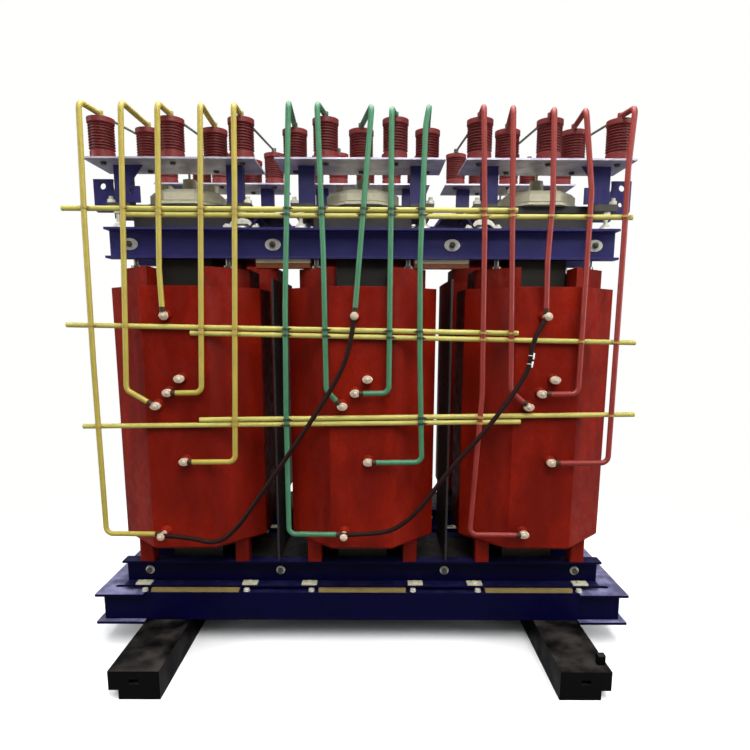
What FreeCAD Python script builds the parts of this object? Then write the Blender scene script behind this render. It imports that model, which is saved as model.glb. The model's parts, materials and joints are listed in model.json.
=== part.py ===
import FreeCAD, Part
import math
import os

os.makedirs("parts", exist_ok=True)
V = FreeCAD.Vector

# Frame: x along a row of three limbs, -y towards the leads, +z up. All in mm.
# The origin is the centre of the footprint, on the floor.
PHASE_PITCH = 640.0
PHASES = (-PHASE_PITCH, 0.0, PHASE_PITCH)
ROW_PITCH = 658.0
FRONT = -ROW_PITCH / 2
REAR = ROW_PITCH / 2
REAR_RISE = 62.0
ROWS = {"front": (FRONT, 0.0), "rear": (REAR, REAR_RISE)}

# Base frame
BASE_TOP = 212.0
SIDE_BEAM_INNER = 832.0
SIDE_BEAM_WIDE = 182.0
SIDE_BEAM_OUTER = SIDE_BEAM_INNER + SIDE_BEAM_WIDE
SIDE_BEAM_BOTTOM = 92.0
SIDE_BEAM_HALF_LENGTH = 529.0
BEAM_SKIN = 10.0
END_PLATE_INSET = 24.0
BEAM_FACE = 181.0
BEAM_DEEP = 100.0
SLOT = (40.0, 20.0)
SLOT_INSET = (69.0, 76.0)

# Skid sleepers, just inside the side beams
SLEEPER_HALF_LENGTH = 862.0
SLEEPER_WIDE = 170.0
SLEEPER_GAP = 2.0
SLEEPER_OUTER_X = SIDE_BEAM_INNER - SLEEPER_GAP
SLEEPER_INNER_X = SLEEPER_OUTER_X - SLEEPER_WIDE
FOOT_WIDE = 138.0
FOOT_HIGH = 34.0
SLEEPER_TOP = 101.0
TOW_HOLE = (31.0, 16.0, 70.0)
TOW_HOLE_Z = 64.0
STOP_BOLT = (25.0, 35.0)
STOP_BOLT_INSET = (22.0, 53.0)

# Core
CORE_HALF_DEEP = 105.0
LIMB_WIDE = 190.0
STRIP_HIGH = 12.0
STRIP_HALF_LONG = 167.0
STRIP_Y = (88.0, 178.0)
YOKE_BOTTOM = BASE_TOP + STRIP_HIGH
YOKE_HALF_LONG = PHASE_PITCH + LIMB_WIDE / 2

# Channel clamps on both sides of each yoke
CLAMP_HALF_LONG = {"lower": 918.0, "upper": 902.0}
CLAMP_TIP = 160.0
CLAMP_SKIN = 8.0
CLAMP_HIGH = 105.0
UPPER_CLAMP_BOTTOM = 1452.0
UPPER_CLAMP_TOP = UPPER_CLAMP_BOTTOM + CLAMP_HIGH
YOKE_HIGH = CLAMP_HIGH
CLAMP_BOLT_X = (-830.0, -320.0, 320.0, 830.0)
CLAMP_WASHERS = {"lower": (17.0, 17.0, 5.0), "upper": (28.0, 21.0, 5.0)}
CLAMP_NUT = (12.0, 12.0)
CLAMP_STUD_OUT = 5.0
PAD = (58.0, 34.0, 6.0)
PAD_X = (-845.0, -435.0, -205.0, 205.0, 435.0, 845.0)

# Coils: regular octagons with a flat facing the front, sized over the flats
COIL_BOTTOM = 420.0
OUTER_TOP = 1352.0
OUTER_APOTHEM = 268.0
OUTER_WALL = 27.0
INNER_TOP = 1420.0
INNER_APOTHEM = 229.0
INNER_WALL = 78.0
NOTCH_WIDE = 190.0
NOTCH_DROP = 12.0
COIL_CHAMFER = 9.0
FOOT_X = (155.0, 208.0)
FOOT_Y = (106.0, 160.0)
FOOT_ROUND = 6.0
PRESS_BOLT_AT = (163.0, 132.0)
PRESS_BOLT_RADIUS = 10.0
PRESS_PAD = (19.0, 8.0)

# Above the upper yoke
PACKING_HALF = (175.0, 104.0)
PACKING_TOP = 1617.0
TOP_PLATE_HALF = (250.0, 150.0)
TOP_PLATE_WAIST = (168.0, 110.0)
TOP_PLATE_HIGH = 23.0
TOP_PLATE_TOP = PACKING_TOP + TOP_PLATE_HIGH
BLOCK_STEPS = ((140.0, 9.0), (124.0, 4.0), (130.0, 25.0))
BLOCK_SLOPE_HIGH = 14.0
BOSS = (28.0, 24.0, 54.0)
BLOCK_ROD_RADIUS = 4.5
BLOCK_EARS = (84.0, 26.0, 30.0, 34.0)
STUD_X = TOP_PLATE_HALF[0] - 33.0
STUD_Y = TOP_PLATE_HALF[1] - 18.0
STUD_RADIUS = 8.0
STUD_CONE = (25.0, 12.0, 16.0)
STUD_NUT = (15.0, 12.0)
BAR_BOLT_X = TOP_PLATE_HALF[0] - 11.5
POST_X = TOP_PLATE_HALF[0] - 55.0
POST_WIDE = 56.0
POST_FRONT = 14.0 - TOP_PLATE_HALF[1]
POST_DEEP = 42.0
POST_SKIN = 6.0
GUSSET = (46.0, 60.0)
PLATE_HALF_LONG = 286.0
PLATE_Y = (-218.0, -2.0)
PLATE_HIGH = 6.0
POST_HIGH = 127.0
POST_TOP = TOP_PLATE_TOP + POST_HIGH
PLATE_TOP = POST_TOP + PLATE_HIGH
PLATE_SHIFT = {"front": -5.5, "rear": 0.0}

# Post insulators
INSULATOR_HIGH = 130.0
INSULATOR_CAP = 44.5
INSULATOR_FOOT = 41.0
INSULATOR_RIB = 42.5
INSULATOR_CORE = 37.0
INSULATOR_RIBS = 9
TOP_FLANGE = 21.0
BOTTOM_FLANGE = 28.0
INSULATOR_STEP = 118.2
NEAR_Y = -168.0
FAR_Y = -52.0

# Lead rods, the rails behind them and their fittings
LEAD_RADIUS = 9.0
LEAD_Y = -302.0
LEAD_BEND = 24.0
GENTLE_REACH = 14.0
SIDE_RISE = 2.0
T4_TURN = 56.0
PIN_RADIUS = 10.0
PIN_HIGH = 25.5
PIN_MIDDLE = 16.0
SEAT_GAP = 0.3
TIE_WALL = 2.0
TIE_WIDE = 7.0
TIE_CLEAR = 60.0
RAIL_RADIUS = 8.5
RAIL_Y = LEAD_Y + LEAD_RADIUS + RAIL_RADIUS + TIE_WALL + 0.5
TERMINAL_RADIUS = 13.0
TERMINAL_STEM = 8.0
HEAD_DEEP = 22.0
LINK_RADIUS = 4.5
JUMPER_RADIUS = 8.0
LUG_HALF = 11.0
LUG_DEEP = 20.0

# Lifting lugs as reach inwards and outwards from the end of the top plate, and height over it;
# holes as inset from the outer edge, inset from the top, and radius
LIFT_LUG = (50.0, 67.0, 90.0)
LIFT_NECK = 70.0
LIFT_CORNER = 8.0
LIFT_LUG_Y = 84.0
LIFT_LUG_SKIN = 10.0
LIFT_HOLES = ((33.0, 24.0, 11.0), (35.0, 80.0, 8.0))
SMALL_LUG = (53.0, 10.0, 54.0)
SMALL_LUG_INSET = 66.0
SMALL_LUG_OUT = 8.0
SMALL_LUG_HOLE = 9.0
CROSS_TIE = (75.0, 42.0, 45.0, 8.0)
PHASE_BAR_X = (185.0, 378.0)
PHASE_BAR_Y = (92.0, 140.0)
PHASE_BAR_HIGH = 17.0
PHASE_BAR_TOP_HIGH = 13.0
BARRIER = (4.0, -150.0, 176.0, 1384.0)


def box(x0, x1, y0, y1, z0, z1):
    """Axis-aligned box between two corners."""
    return Part.makeBox(x1 - x0, y1 - y0, z1 - z0, V(x0, y0, z0))


def rod(radius, start, end):
    """Straight round bar between two points."""
    along = end - start
    return Part.makeCylinder(radius, along.Length, start, along)


def mirror_x(shape):
    return shape.mirror(V(0, 0, 0), V(1, 0, 0))


def mirror_y(shape):
    return shape.mirror(V(0, 0, 0), V(0, 1, 0))


def shifted(shape, x=0.0, y=0.0, z=0.0):
    copy = shape.copy()
    copy.translate(V(x, y, z))
    return copy


def save(name, shapes):
    """Write one node: a single solid, or a group of separate solids."""
    flat = [solid for shape in shapes for solid in shape.Solids]
    shape = flat[0] if len(flat) == 1 else Part.makeCompound(flat)
    shape.exportStep("parts/" + name + ".step")


def octagon(apothem, z0, z1):
    """Upright octagonal prism with a flat towards the front."""
    reach = apothem / math.cos(math.pi / 8)
    points = []
    for i in range(9):
        angle = math.pi / 8 + i * math.pi / 4
        points.append(V(reach * math.cos(angle), reach * math.sin(angle), z0))
    return Part.Face(Part.makePolygon(points)).extrude(V(0, 0, z1 - z0))


def bent_path(points, bend):
    """Straight runs joined by arcs of one bend radius where the runs allow it.

    Returns the wire and the radii that were used.
    """
    edges = []
    radii = []
    last = points[0]
    for i in range(1, len(points) - 1):
        corner = points[i]
        back = points[i - 1] - corner
        ahead = points[i + 1] - corner
        turn = math.pi - back.getAngle(ahead)
        room = 0.45 * min(back.Length, ahead.Length)
        reach = room if bend is None else min(room, max(GENTLE_REACH, bend * math.tan(turn / 2)))
        radius = reach / math.tan(turn / 2)
        radii.append(radius)
        back.normalize()
        ahead.normalize()
        enter = corner + back * reach
        leave = corner + ahead * reach
        middle_way = back + ahead
        middle_way.normalize()
        middle = corner + middle_way * (radius / math.cos(turn / 2) - radius)
        edges.append(Part.LineSegment(last, enter).toShape())
        edges.append(Part.Arc(enter, middle, leave).toShape())
        last = leave
    edges.append(Part.LineSegment(last, points[-1]).toShape())
    return Part.Wire(edges), radii


def tube(points, radius, bend=None):
    """Round bar or cord along bent_path."""
    wire, radii = bent_path(points, bend)
    along = points[1] - points[0]
    ring = Part.Wire(Part.makeCircle(radius, points[0], along))
    solid = wire.makePipeShell([ring], True, False)
    return solid, wire, radii


# Sleepers

def sleeper():
    """Right-hand sleeper, a deep bar on a narrower foot."""
    inner = SLEEPER_INNER_X
    bar = box(inner, inner + SLEEPER_WIDE, -SLEEPER_HALF_LENGTH, SLEEPER_HALF_LENGTH, FOOT_HIGH, SLEEPER_TOP)
    foot = box(inner, inner + FOOT_WIDE, -SLEEPER_HALF_LENGTH, SLEEPER_HALF_LENGTH, 0, FOOT_HIGH)
    shape = bar.fuse(foot).removeSplitter()
    wide, high, deep = TOW_HOLE
    middle = inner + SLEEPER_WIDE / 2
    for end in (-1, 1):
        y0 = SLEEPER_HALF_LENGTH - deep if end > 0 else -SLEEPER_HALF_LENGTH
        low_z, high_z = TOW_HOLE_Z - high / 2, TOW_HOLE_Z + high / 2
        hole = box(middle - wide / 2, middle + wide / 2, y0, y0 + deep, low_z, high_z)
        shape = shape.cut(hole)
    return shape


save("sleeper_right", [sleeper()])
save("sleeper_left", [mirror_x(sleeper())])
side, high = STOP_BOLT
stop_x, stop_y = SLEEPER_OUTER_X - STOP_BOLT_INSET[0], STOP_BOLT_INSET[1] - SLEEPER_HALF_LENGTH
stop = box(stop_x - side / 2, stop_x + side / 2, stop_y - side / 2, stop_y + side / 2,
           SLEEPER_TOP, SLEEPER_TOP + high)
save("sleeper_stop", [stop.makeChamfer(3, stop.Edges[8:])])


# Base frame

def side_beam():
    """Right-hand I beam, its ends closed by plates set in from the flange tips."""
    x0, x1, long = SIDE_BEAM_INNER, SIDE_BEAM_OUTER, SIDE_BEAM_HALF_LENGTH
    bottom = box(x0, x1, -long, long, SIDE_BEAM_BOTTOM, SIDE_BEAM_BOTTOM + BEAM_SKIN)
    top = box(x0, x1, -long, long, BASE_TOP - BEAM_SKIN, BASE_TOP)
    inner_z = (SIDE_BEAM_BOTTOM + BEAM_SKIN, BASE_TOP - BEAM_SKIN)
    web = box(x0, x0 + BEAM_SKIN, -long + END_PLATE_INSET, long - END_PLATE_INSET, *inner_z)
    shape = bottom.fuse([top, web])
    for y in (-long + END_PLATE_INSET, long - END_PLATE_INSET - BEAM_SKIN):
        shape = shape.fuse(box(x0, x1 - END_PLATE_INSET, y, y + BEAM_SKIN, *inner_z))
    outer = box(x1 - END_PLATE_INSET - BEAM_SKIN, x1 - END_PLATE_INSET, -long + END_PLATE_INSET,
                long - END_PLATE_INSET, *inner_z)
    shape = shape.fuse(outer).removeSplitter()
    slot_long, slot_wide = SLOT
    slot_x, slot_y = SIDE_BEAM_OUTER - SLOT_INSET[0], SIDE_BEAM_HALF_LENGTH - SLOT_INSET[1]
    for y in (-slot_y, slot_y):
        shape = shape.cut(slot(slot_x, y, slot_long, slot_wide, BASE_TOP - BEAM_SKIN, BASE_TOP))
    return shape


def slot(x, y, long, wide, z0, z1):
    """Round-ended slot along x."""
    reach = (long - wide) / 2
    body = box(x - reach, x + reach, y - wide / 2, y + wide / 2, z0, z1)
    for end in (x - reach, x + reach):
        body = body.fuse(Part.makeCylinder(wide / 2, z1 - z0, V(end, y, z0)))
    return body


def long_beam(local_side):
    """Channel between the side beams with its web on the outer face of a clamp pair."""
    x0, x1 = -SIDE_BEAM_INNER, SIDE_BEAM_INNER
    web = box(x0, x1, BEAM_FACE - BEAM_SKIN, BEAM_FACE, SLEEPER_TOP, BASE_TOP)
    low = box(x0, x1, BEAM_FACE - BEAM_DEEP, BEAM_FACE, SLEEPER_TOP, SLEEPER_TOP + BEAM_SKIN)
    high = box(x0, x1, BEAM_FACE - BEAM_DEEP, BEAM_FACE, BASE_TOP - BEAM_SKIN, BASE_TOP)
    shape = web.fuse([low, high]).removeSplitter()
    return shape if local_side > 0 else mirror_y(shape)


save("side_beam_right", [side_beam()])
save("side_beam_left", [mirror_x(side_beam())])
for row, (row_y, rise) in ROWS.items():
    save("long_beams_" + row, [shifted(long_beam(side), y=row_y) for side in (-1, 1)])
strips = []
for row_y in (FRONT, REAR):
    for phase in PHASES:
        strip = box(phase - STRIP_HALF_LONG, phase + STRIP_HALF_LONG, *STRIP_Y, BASE_TOP, YOKE_BOTTOM)
        strips += [shifted(strip, y=row_y), shifted(mirror_y(strip), y=row_y)]
save("base_strips", strips)


# Core

def yoke(z0):
    return box(-YOKE_HALF_LONG, YOKE_HALF_LONG, -CORE_HALF_DEEP, CORE_HALF_DEEP, z0, z0 + YOKE_HIGH)


for row, (row_y, rise) in ROWS.items():
    save("lower_yoke_" + row, [shifted(yoke(YOKE_BOTTOM), y=row_y)])
    save("upper_yoke_" + row, [shifted(yoke(UPPER_CLAMP_BOTTOM + rise), y=row_y)])
    limb = box(-LIMB_WIDE / 2, LIMB_WIDE / 2, row_y - CORE_HALF_DEEP, row_y + CORE_HALF_DEEP,
               YOKE_BOTTOM + YOKE_HIGH, UPPER_CLAMP_BOTTOM + rise)
    save("limbs_" + row, [shifted(limb, x=phase) for phase in PHASES])


# Clamps, their bolts and washer plates

def clamp(z0, level):
    """Channel on the +y side of a yoke, flanges pointing away from the core."""
    long = CLAMP_HALF_LONG[level]
    web = box(-long, long, CORE_HALF_DEEP, CORE_HALF_DEEP + CLAMP_SKIN, z0, z0 + CLAMP_HIGH)
    low = box(-long, long, CORE_HALF_DEEP, CLAMP_TIP, z0, z0 + CLAMP_SKIN)
    high = box(-long, long, CORE_HALF_DEEP, CLAMP_TIP, z0 + CLAMP_HIGH - CLAMP_SKIN, z0 + CLAMP_HIGH)
    return web.fuse([low, high]).removeSplitter()


def clamp_bolt(x, z, level):
    """Plate washer with a nut and stud end, on the outer face of a +y clamp web."""
    face = CORE_HALF_DEEP + CLAMP_SKIN
    half_wide, half_high, washer_high = CLAMP_WASHERS[level]
    nut_radius, nut_high = CLAMP_NUT
    shape = Part.makeCylinder(half_high, washer_high, V(x, face, z), V(0, 1, 0))
    for end in (x - (half_wide - half_high), x + (half_wide - half_high)):
        shape = shape.fuse(Part.makeCylinder(half_high, washer_high, V(end, face, z), V(0, 1, 0)))
    points = []
    for i in range(7):
        angle = i * math.pi / 3
        points.append(V(x + nut_radius * math.cos(angle), face + washer_high, z + nut_radius * math.sin(angle)))
    nut = Part.Face(Part.makePolygon(points)).extrude(V(0, nut_high, 0))
    stud = Part.makeCylinder(nut_radius / 2, washer_high + nut_high + CLAMP_STUD_OUT, V(x, face, z), V(0, 1, 0))
    return shape.fuse([nut, stud]).removeSplitter()


def clamp_pad(x):
    """Plate washer with a bolt head, on the bottom flange of a lower clamp."""
    wide, deep, high = PAD
    middle = CLAMP_TIP - deep / 2 - 2
    z0 = YOKE_BOTTOM + CLAMP_SKIN
    pad = box(x - wide / 2, x + wide / 2, middle - deep / 2, middle + deep / 2, z0, z0 + high)
    head = Part.makeCylinder(deep / 3, high * 1.6, V(x, middle, z0))
    return pad.fuse(head).removeSplitter()


clamp_levels = {"lower": (YOKE_BOTTOM, 0.0), "upper": (UPPER_CLAMP_BOTTOM, 1.0)}
clamp_bolts = []
clamp_pads = []
for row, (row_y, rise) in ROWS.items():
    for level, (z0, rises) in clamp_levels.items():
        high = z0 + rise * rises
        for side, facing in (("outer", -1), ("inner", 1)):
            shape = clamp(high, level) if facing > 0 else mirror_y(clamp(high, level))
            save(level + "_clamp_" + row + "_" + side, [shifted(shape, y=row_y)])
            for x in CLAMP_BOLT_X:
                bolt = clamp_bolt(x, high + CLAMP_HIGH / 2, level)
                bolt = bolt if facing > 0 else mirror_y(bolt)
                clamp_bolts.append(shifted(bolt, y=row_y))
            if level == "lower":
                for x in PAD_X:
                    pad = clamp_pad(x) if facing > 0 else mirror_y(clamp_pad(x))
                    clamp_pads.append(shifted(pad, y=row_y))
save("clamp_bolts", clamp_bolts)
save("clamp_pads", clamp_pads)


# Coils

def outer_coil(rise):
    """Cast octagonal sleeve, chamfered at the foot, with a lug-shaped foot at each corner."""
    shape = octagon(OUTER_APOTHEM, COIL_BOTTOM, OUTER_TOP + rise)
    rim = [edge for edge in shape.Edges if edge.BoundBox.ZMax < COIL_BOTTOM + 1]
    shape = shape.makeChamfer(COIL_CHAMFER, rim)
    return shape.cut(octagon(OUTER_APOTHEM - OUTER_WALL, COIL_BOTTOM, OUTER_TOP + rise))


def coil_feet():
    """Four cast blocks between the lower clamps and the coils."""
    blocks = []
    foot_bottom = YOKE_BOTTOM + CLAMP_HIGH
    block = box(*FOOT_X, *FOOT_Y, foot_bottom, COIL_BOTTOM)
    upright = [edge for edge in block.Edges if edge.BoundBox.ZLength > 1]
    block = block.makeFillet(FOOT_ROUND, upright)
    for shape in (block, mirror_y(block)):
        blocks += [shape, mirror_x(shape)]
    return blocks


def inner_coil(rise):
    """Thick octagonal sleeve whose top end is notched at the front and back."""
    top = INNER_TOP + rise
    shape = octagon(INNER_APOTHEM, COIL_BOTTOM, top)
    shape = shape.cut(octagon(INNER_APOTHEM - INNER_WALL, COIL_BOTTOM, top))
    half = NOTCH_WIDE / 2
    notch = box(-half, half, -OUTER_APOTHEM, OUTER_APOTHEM, OUTER_TOP + rise - NOTCH_DROP, top)
    return shape.cut(notch)


def press_bolts(rise):
    """Bolts that hold the coils down from the upper clamps."""
    bolts = []
    x, y = PRESS_BOLT_AT
    pad_radius, pad_high = PRESS_PAD
    z0, z1 = INNER_TOP + rise, UPPER_CLAMP_BOTTOM + rise
    shape = Part.makeCylinder(PRESS_BOLT_RADIUS, z1 - z0, V(x, y, z0))
    shape = shape.fuse(Part.makeCylinder(pad_radius, pad_high, V(x, y, z0))).removeSplitter()
    for bolt in (shape, mirror_y(shape)):
        bolts += [bolt, mirror_x(bolt)]
    return bolts


bolts = []
feet = []
for row, (row_y, rise) in ROWS.items():
    inner = []
    for letter, phase in zip("abc", PHASES):
        save("outer_coil_" + row + "_" + letter, [shifted(outer_coil(rise), phase, row_y)])
        inner.append(shifted(inner_coil(rise), phase, row_y))
        feet += [shifted(foot, phase, row_y) for foot in coil_feet()]
        bolts += [shifted(bolt, phase, row_y) for bolt in press_bolts(rise)]
    save("inner_coils_" + row, inner)
save("coil_feet", feet)
save("press_bolts", bolts)


# Above the upper yokes

def insulating_block():
    """Moulded octagonal block with a groove, a sloping shoulder, two ears, a boss and a rod up to the plate."""
    z = TOP_PLATE_TOP
    pieces = []
    for apothem, high in BLOCK_STEPS:
        pieces.append(octagon(apothem, z, z + high))
        z += high
    shoulder_high = BLOCK_SLOPE_HIGH
    shoulder = octagon(apothem, z, z + shoulder_high)
    rim = [edge for edge in shoulder.Edges if edge.BoundBox.ZMin > z + shoulder_high - 1]
    pieces.append(shoulder.makeChamfer(shoulder_high - 0.5, rim))
    z += shoulder_high
    half, top_half, high = BOSS
    pieces.append(Part.makeCone(half, top_half, high, V(0, 0, z)))
    pieces.append(Part.makeCylinder(BLOCK_ROD_RADIUS, POST_TOP - z, V(0, 0, z)))
    ear_x, ear_wide, ear_deep, ear_high = BLOCK_EARS
    for x in (-ear_x, ear_x):
        pieces.append(box(x - ear_wide / 2, x + ear_wide / 2, -ear_deep, ear_deep, z, z + ear_high))
    return pieces[0].fuse(pieces[1:]).removeSplitter()


def frame_stud():
    """Tie stud from the clamp to the top plate, with a nut above and below."""
    low, high = UPPER_CLAMP_TOP, PACKING_TOP
    shape = Part.makeCylinder(STUD_RADIUS, high - low, V(STUD_X, STUD_Y, low))
    base_radius, neck_radius, cone_high = STUD_CONE
    cone = Part.makeCone(base_radius, neck_radius, cone_high, V(STUD_X, STUD_Y, low))
    nut_radius, nut_high = STUD_NUT
    nut = Part.makeCylinder(nut_radius, nut_high, V(STUD_X, STUD_Y, high - nut_high))
    return shape.fuse([cone, nut]).removeSplitter()


def bar_bolt():
    """Nut and stud end on top of an end bar, beside the post."""
    nut_radius, nut_high = STUD_NUT
    shape = Part.makeCylinder(nut_radius, nut_high, V(BAR_BOLT_X, STUD_Y, TOP_PLATE_TOP))
    return shape.fuse(Part.makeCylinder(STUD_RADIUS, nut_high * 2, V(BAR_BOLT_X, STUD_Y, TOP_PLATE_TOP)))


def post(x):
    """Channel-shaped post, web to the front, from the top plate to the insulator plate."""
    x0, x1 = x - POST_WIDE / 2, x + POST_WIDE / 2
    y0, y1 = POST_FRONT, POST_FRONT + POST_DEEP
    full = box(x0, x1, y0, y1, TOP_PLATE_TOP, POST_TOP)
    hollow = box(x0 + POST_SKIN, x1 - POST_SKIN, y0 + POST_SKIN, y1, TOP_PLATE_TOP, POST_TOP)
    return full.cut(hollow)


def gusset(x, out):
    """Small triangular plate under the insulator plate, on the side of a post given by out."""
    wide, high = GUSSET
    edge = x + out * POST_WIDE / 2
    corners = [V(edge, POST_FRONT, POST_TOP), V(edge + out * wide, POST_FRONT, POST_TOP),
               V(edge, POST_FRONT, POST_TOP - high)]
    face = Part.Face(Part.makePolygon(corners + corners[:1]))
    return face.extrude(V(0, POST_SKIN, 0))


def insulator():
    """Ribbed post insulator, standing at the origin."""
    points = [V(0, 0, 0), V(INSULATOR_FOOT, 0, 0), V(INSULATOR_FOOT, 0, BOTTOM_FLANGE * 0.85),
              V(INSULATOR_CORE, 0, BOTTOM_FLANGE)]
    pitch = (INSULATOR_HIGH - BOTTOM_FLANGE - TOP_FLANGE) / INSULATOR_RIBS
    for i in range(INSULATOR_RIBS):
        z = BOTTOM_FLANGE + i * pitch
        points += [V(INSULATOR_CORE, 0, z + pitch * 0.35), V(INSULATOR_RIB, 0, z + pitch * 0.5),
                   V(INSULATOR_RIB, 0, z + pitch * 0.65), V(INSULATOR_CORE, 0, z + pitch * 0.85)]
    shoulder = INSULATOR_HIGH - TOP_FLANGE
    points += [V(INSULATOR_CORE, 0, shoulder), V(INSULATOR_CAP, 0, shoulder + TOP_FLANGE * 0.25),
               V(INSULATOR_CAP, 0, INSULATOR_HIGH), V(0, 0, INSULATOR_HIGH)]
    face = Part.Face(Part.makePolygon(points + points[:1]))
    return face.revolve(V(0, 0, 0), V(0, 0, 1), 360)


def seats(phase_index, row):
    """Insulator places of one phase of a row as (x, y), left to right."""
    near_set = (0, 2, 4) if phase_index != 1 else (1, 3)
    places = []
    for i in range(5):
        y = NEAR_Y if i in near_set else FAR_Y
        places.append(((i - 2) * INSULATOR_STEP + PLATE_SHIFT[row], y))
    return places


insulators = {"front": [], "rear": []}
packings, top_plates, end_bars, blocks, studs, posts, plates = [], [], [], [], [], [], []
one_insulator = insulator()
for row, (row_y, rise) in ROWS.items():
    for index, phase in enumerate(PHASES):
        at = (phase, row_y, rise)
        half_x, half_y = PACKING_HALF
        packing = box(-half_x, half_x, -half_y, half_y, UPPER_CLAMP_TOP, PACKING_TOP)
        packings.append(shifted(packing, *at))
        half_x, half_y = TOP_PLATE_HALF
        waist_x, waist_y = TOP_PLATE_WAIST
        plate = box(-waist_x, waist_x, -waist_y, waist_y, PACKING_TOP, TOP_PLATE_TOP)
        top_plates.append(shifted(plate, *at))
        bar = box(waist_x, half_x, -half_y, half_y, PACKING_TOP, TOP_PLATE_TOP)
        end_bars += [shifted(bar, *at), shifted(mirror_x(bar), *at)]
        blocks.append(shifted(insulating_block(), *at))
        for stud in (frame_stud(), bar_bolt()):
            studs += [shifted(mirror_y(stud), *at), shifted(mirror_y(mirror_x(stud)), *at)]
        for shape in (frame_stud(), bar_bolt()):
            studs += [shifted(shape, *at), shifted(mirror_x(shape), *at)]
        for x in (-POST_X, POST_X):
            shape = post(x)
            if (index, x) in ((0, -POST_X), (2, POST_X)):
                shape = shape.fuse(gusset(x, -x / abs(x))).removeSplitter()
            posts.append(shifted(shape, *at))
        plate = box(-PLATE_HALF_LONG, PLATE_HALF_LONG, *PLATE_Y, POST_TOP, PLATE_TOP)
        plates.append(shifted(plate, phase + PLATE_SHIFT[row], row_y, rise))
        for x, y in seats(index, row):
            insulators[row].append(shifted(one_insulator, phase + x, row_y + y, PLATE_TOP + rise))
save("packing_blocks", packings)
save("top_plates", top_plates)
save("end_bars", end_bars)
save("insulating_blocks", blocks)
save("frame_studs", studs)
save("frame_posts", posts)
save("insulator_plates", plates)
for row in ROWS:
    save("insulators_" + row, insulators[row])


# Lead rods. Each ends at one of the bolt heads on the front flat of its coil.

TERMINALS = {"t1": (-23.0, 1252.0), "spare": (20.0, 1040.0), "t3": (-22.0, 992.0), "t4": (-66.0, 947.0),
             "t5": (23.0, 751.0), "t6": (-62.0, 489.0)}
LEAD_ENDS = ("t6", "t4", "t1", "t3", "t5")

# Corners of each lead in the plane of the leads as (x from the coil's middle, z), from the top down.
# The first height is over the insulators' tops; a zero height stands for the turn towards the terminal.
LEAD_ROUTES = {
    "a": (((-250, 12), (-260, 1540), (-265, 1100), (-264, 0)),
          ((-118, 11), (-160, 0)),
          ((-3, 8), (-26, 1400)),
          ((132, 6), (95, 0)),
          ((237, 6), (232, 1680), (201, 0))),
    "b": (((-230, 12), (-254, 1280), (-258, 950), (-257, 0)),
          ((-140, 9), (-125, 1450), (-120, 0)),
          ((33, 2),),
          ((96, -6), (96, 1600), (93, 0)),
          ((214, 2), (204, 1850), (193, 1450), (197, 1130), (209, 0))),
    "c": (((-253, 3), (-238, 1520), (-228, 990), (-256, 0)),
          ((-160, 1), (-131, 0)),
          ((-30, -6), (-21, 1620), (-28, 1430)),
          ((70, -7), (103, 1650), (99, 0)),
          ((225, 0), (216, 1725), (218, 1500), (217, 0)))}
RAILS = ((-980, 511, 1596, 1594), (-770, 889, 1577, 1574), (-995, 530, 1220, 1197),
         (-579, 929, 1194, 1167), (-965, 551, 873, 894), (-561, 944, 897, 921))
COIL_FACE = -OUTER_APOTHEM
INSULATOR_TOP = PLATE_TOP + INSULATOR_HIGH


def terminal(x, z):
    """Bolt head on a stem, standing off the front flat of a coil."""
    back = LEAD_Y + HEAD_DEEP / 2
    stem = Part.makeCylinder(TERMINAL_STEM, COIL_FACE - LEAD_Y, V(x, COIL_FACE, z), V(0, -1, 0))
    head = Part.makeCylinder(TERMINAL_RADIUS, HEAD_DEEP, V(x, back, z), V(0, -1, 0))
    return stem.fuse(head).removeSplitter()


def lead_points(seat, route, end):
    """Corner points of one lead rod, from the top of its insulator to its terminal."""
    end_x, end_z = TERMINALS[end]
    centre = V(end_x, LEAD_Y, end_z)
    turn_z = end_z + (T4_TURN if end == "t4" else SIDE_RISE)
    points = [V(seat[0], seat[1], INSULATOR_TOP + PIN_MIDDLE)]
    top_x, rise = route[0]
    points.append(V(top_x, LEAD_Y, INSULATOR_TOP + rise))
    points += [V(x, LEAD_Y, z or turn_z) for x, z in route[1:]]
    toward = centre - points[-1]
    toward.normalize()
    points.append(centre - toward * TERMINAL_RADIUS)
    return points


def pin(seat):
    """Short upright pin on the cap of an insulator."""
    return Part.makeCylinder(PIN_RADIUS, PIN_HIGH, V(seat[0], seat[1], INSULATOR_TOP))


def lead_rod(seat, points):
    return tube(points, LEAD_RADIUS, LEAD_BEND)[0].fuse(pin(seat))


def rail_ends(rail):
    x0, x1, z0, z1 = rail
    return V(x0, RAIL_Y, z0), V(x1, RAIL_Y, z1)


def cable_tie(low, high, rail):
    """Band round a run of a lead where it crosses a rail, with a saddle shaped to both; None if they miss."""
    start, end = rail_ends(rail)
    x = low.x
    for step in range(3):
        z = start.z + (end.z - start.z) * (x - start.x) / (end.x - start.x)
        x = low.x + (high.x - low.x) * (z - low.z) / (high.z - low.z)
    if not (start.x < x < end.x and low.z < z <= high.z):
        return None
    along = high - low
    along.normalize()
    middle = V(x, LEAD_Y, z)
    band = rod(LEAD_RADIUS + TIE_WALL, middle - along * (TIE_WIDE / 2), middle + along * (TIE_WIDE / 2))
    saddle = box(x - TIE_WIDE, x + TIE_WIDE, LEAD_Y, RAIL_Y, z - TIE_WIDE / 2, z + TIE_WIDE / 2)
    shape = band.fuse(saddle)
    shape = shape.cut(rod(LEAD_RADIUS, low, high))
    return shape.cut(rod(RAIL_RADIUS, start, end))


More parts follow.
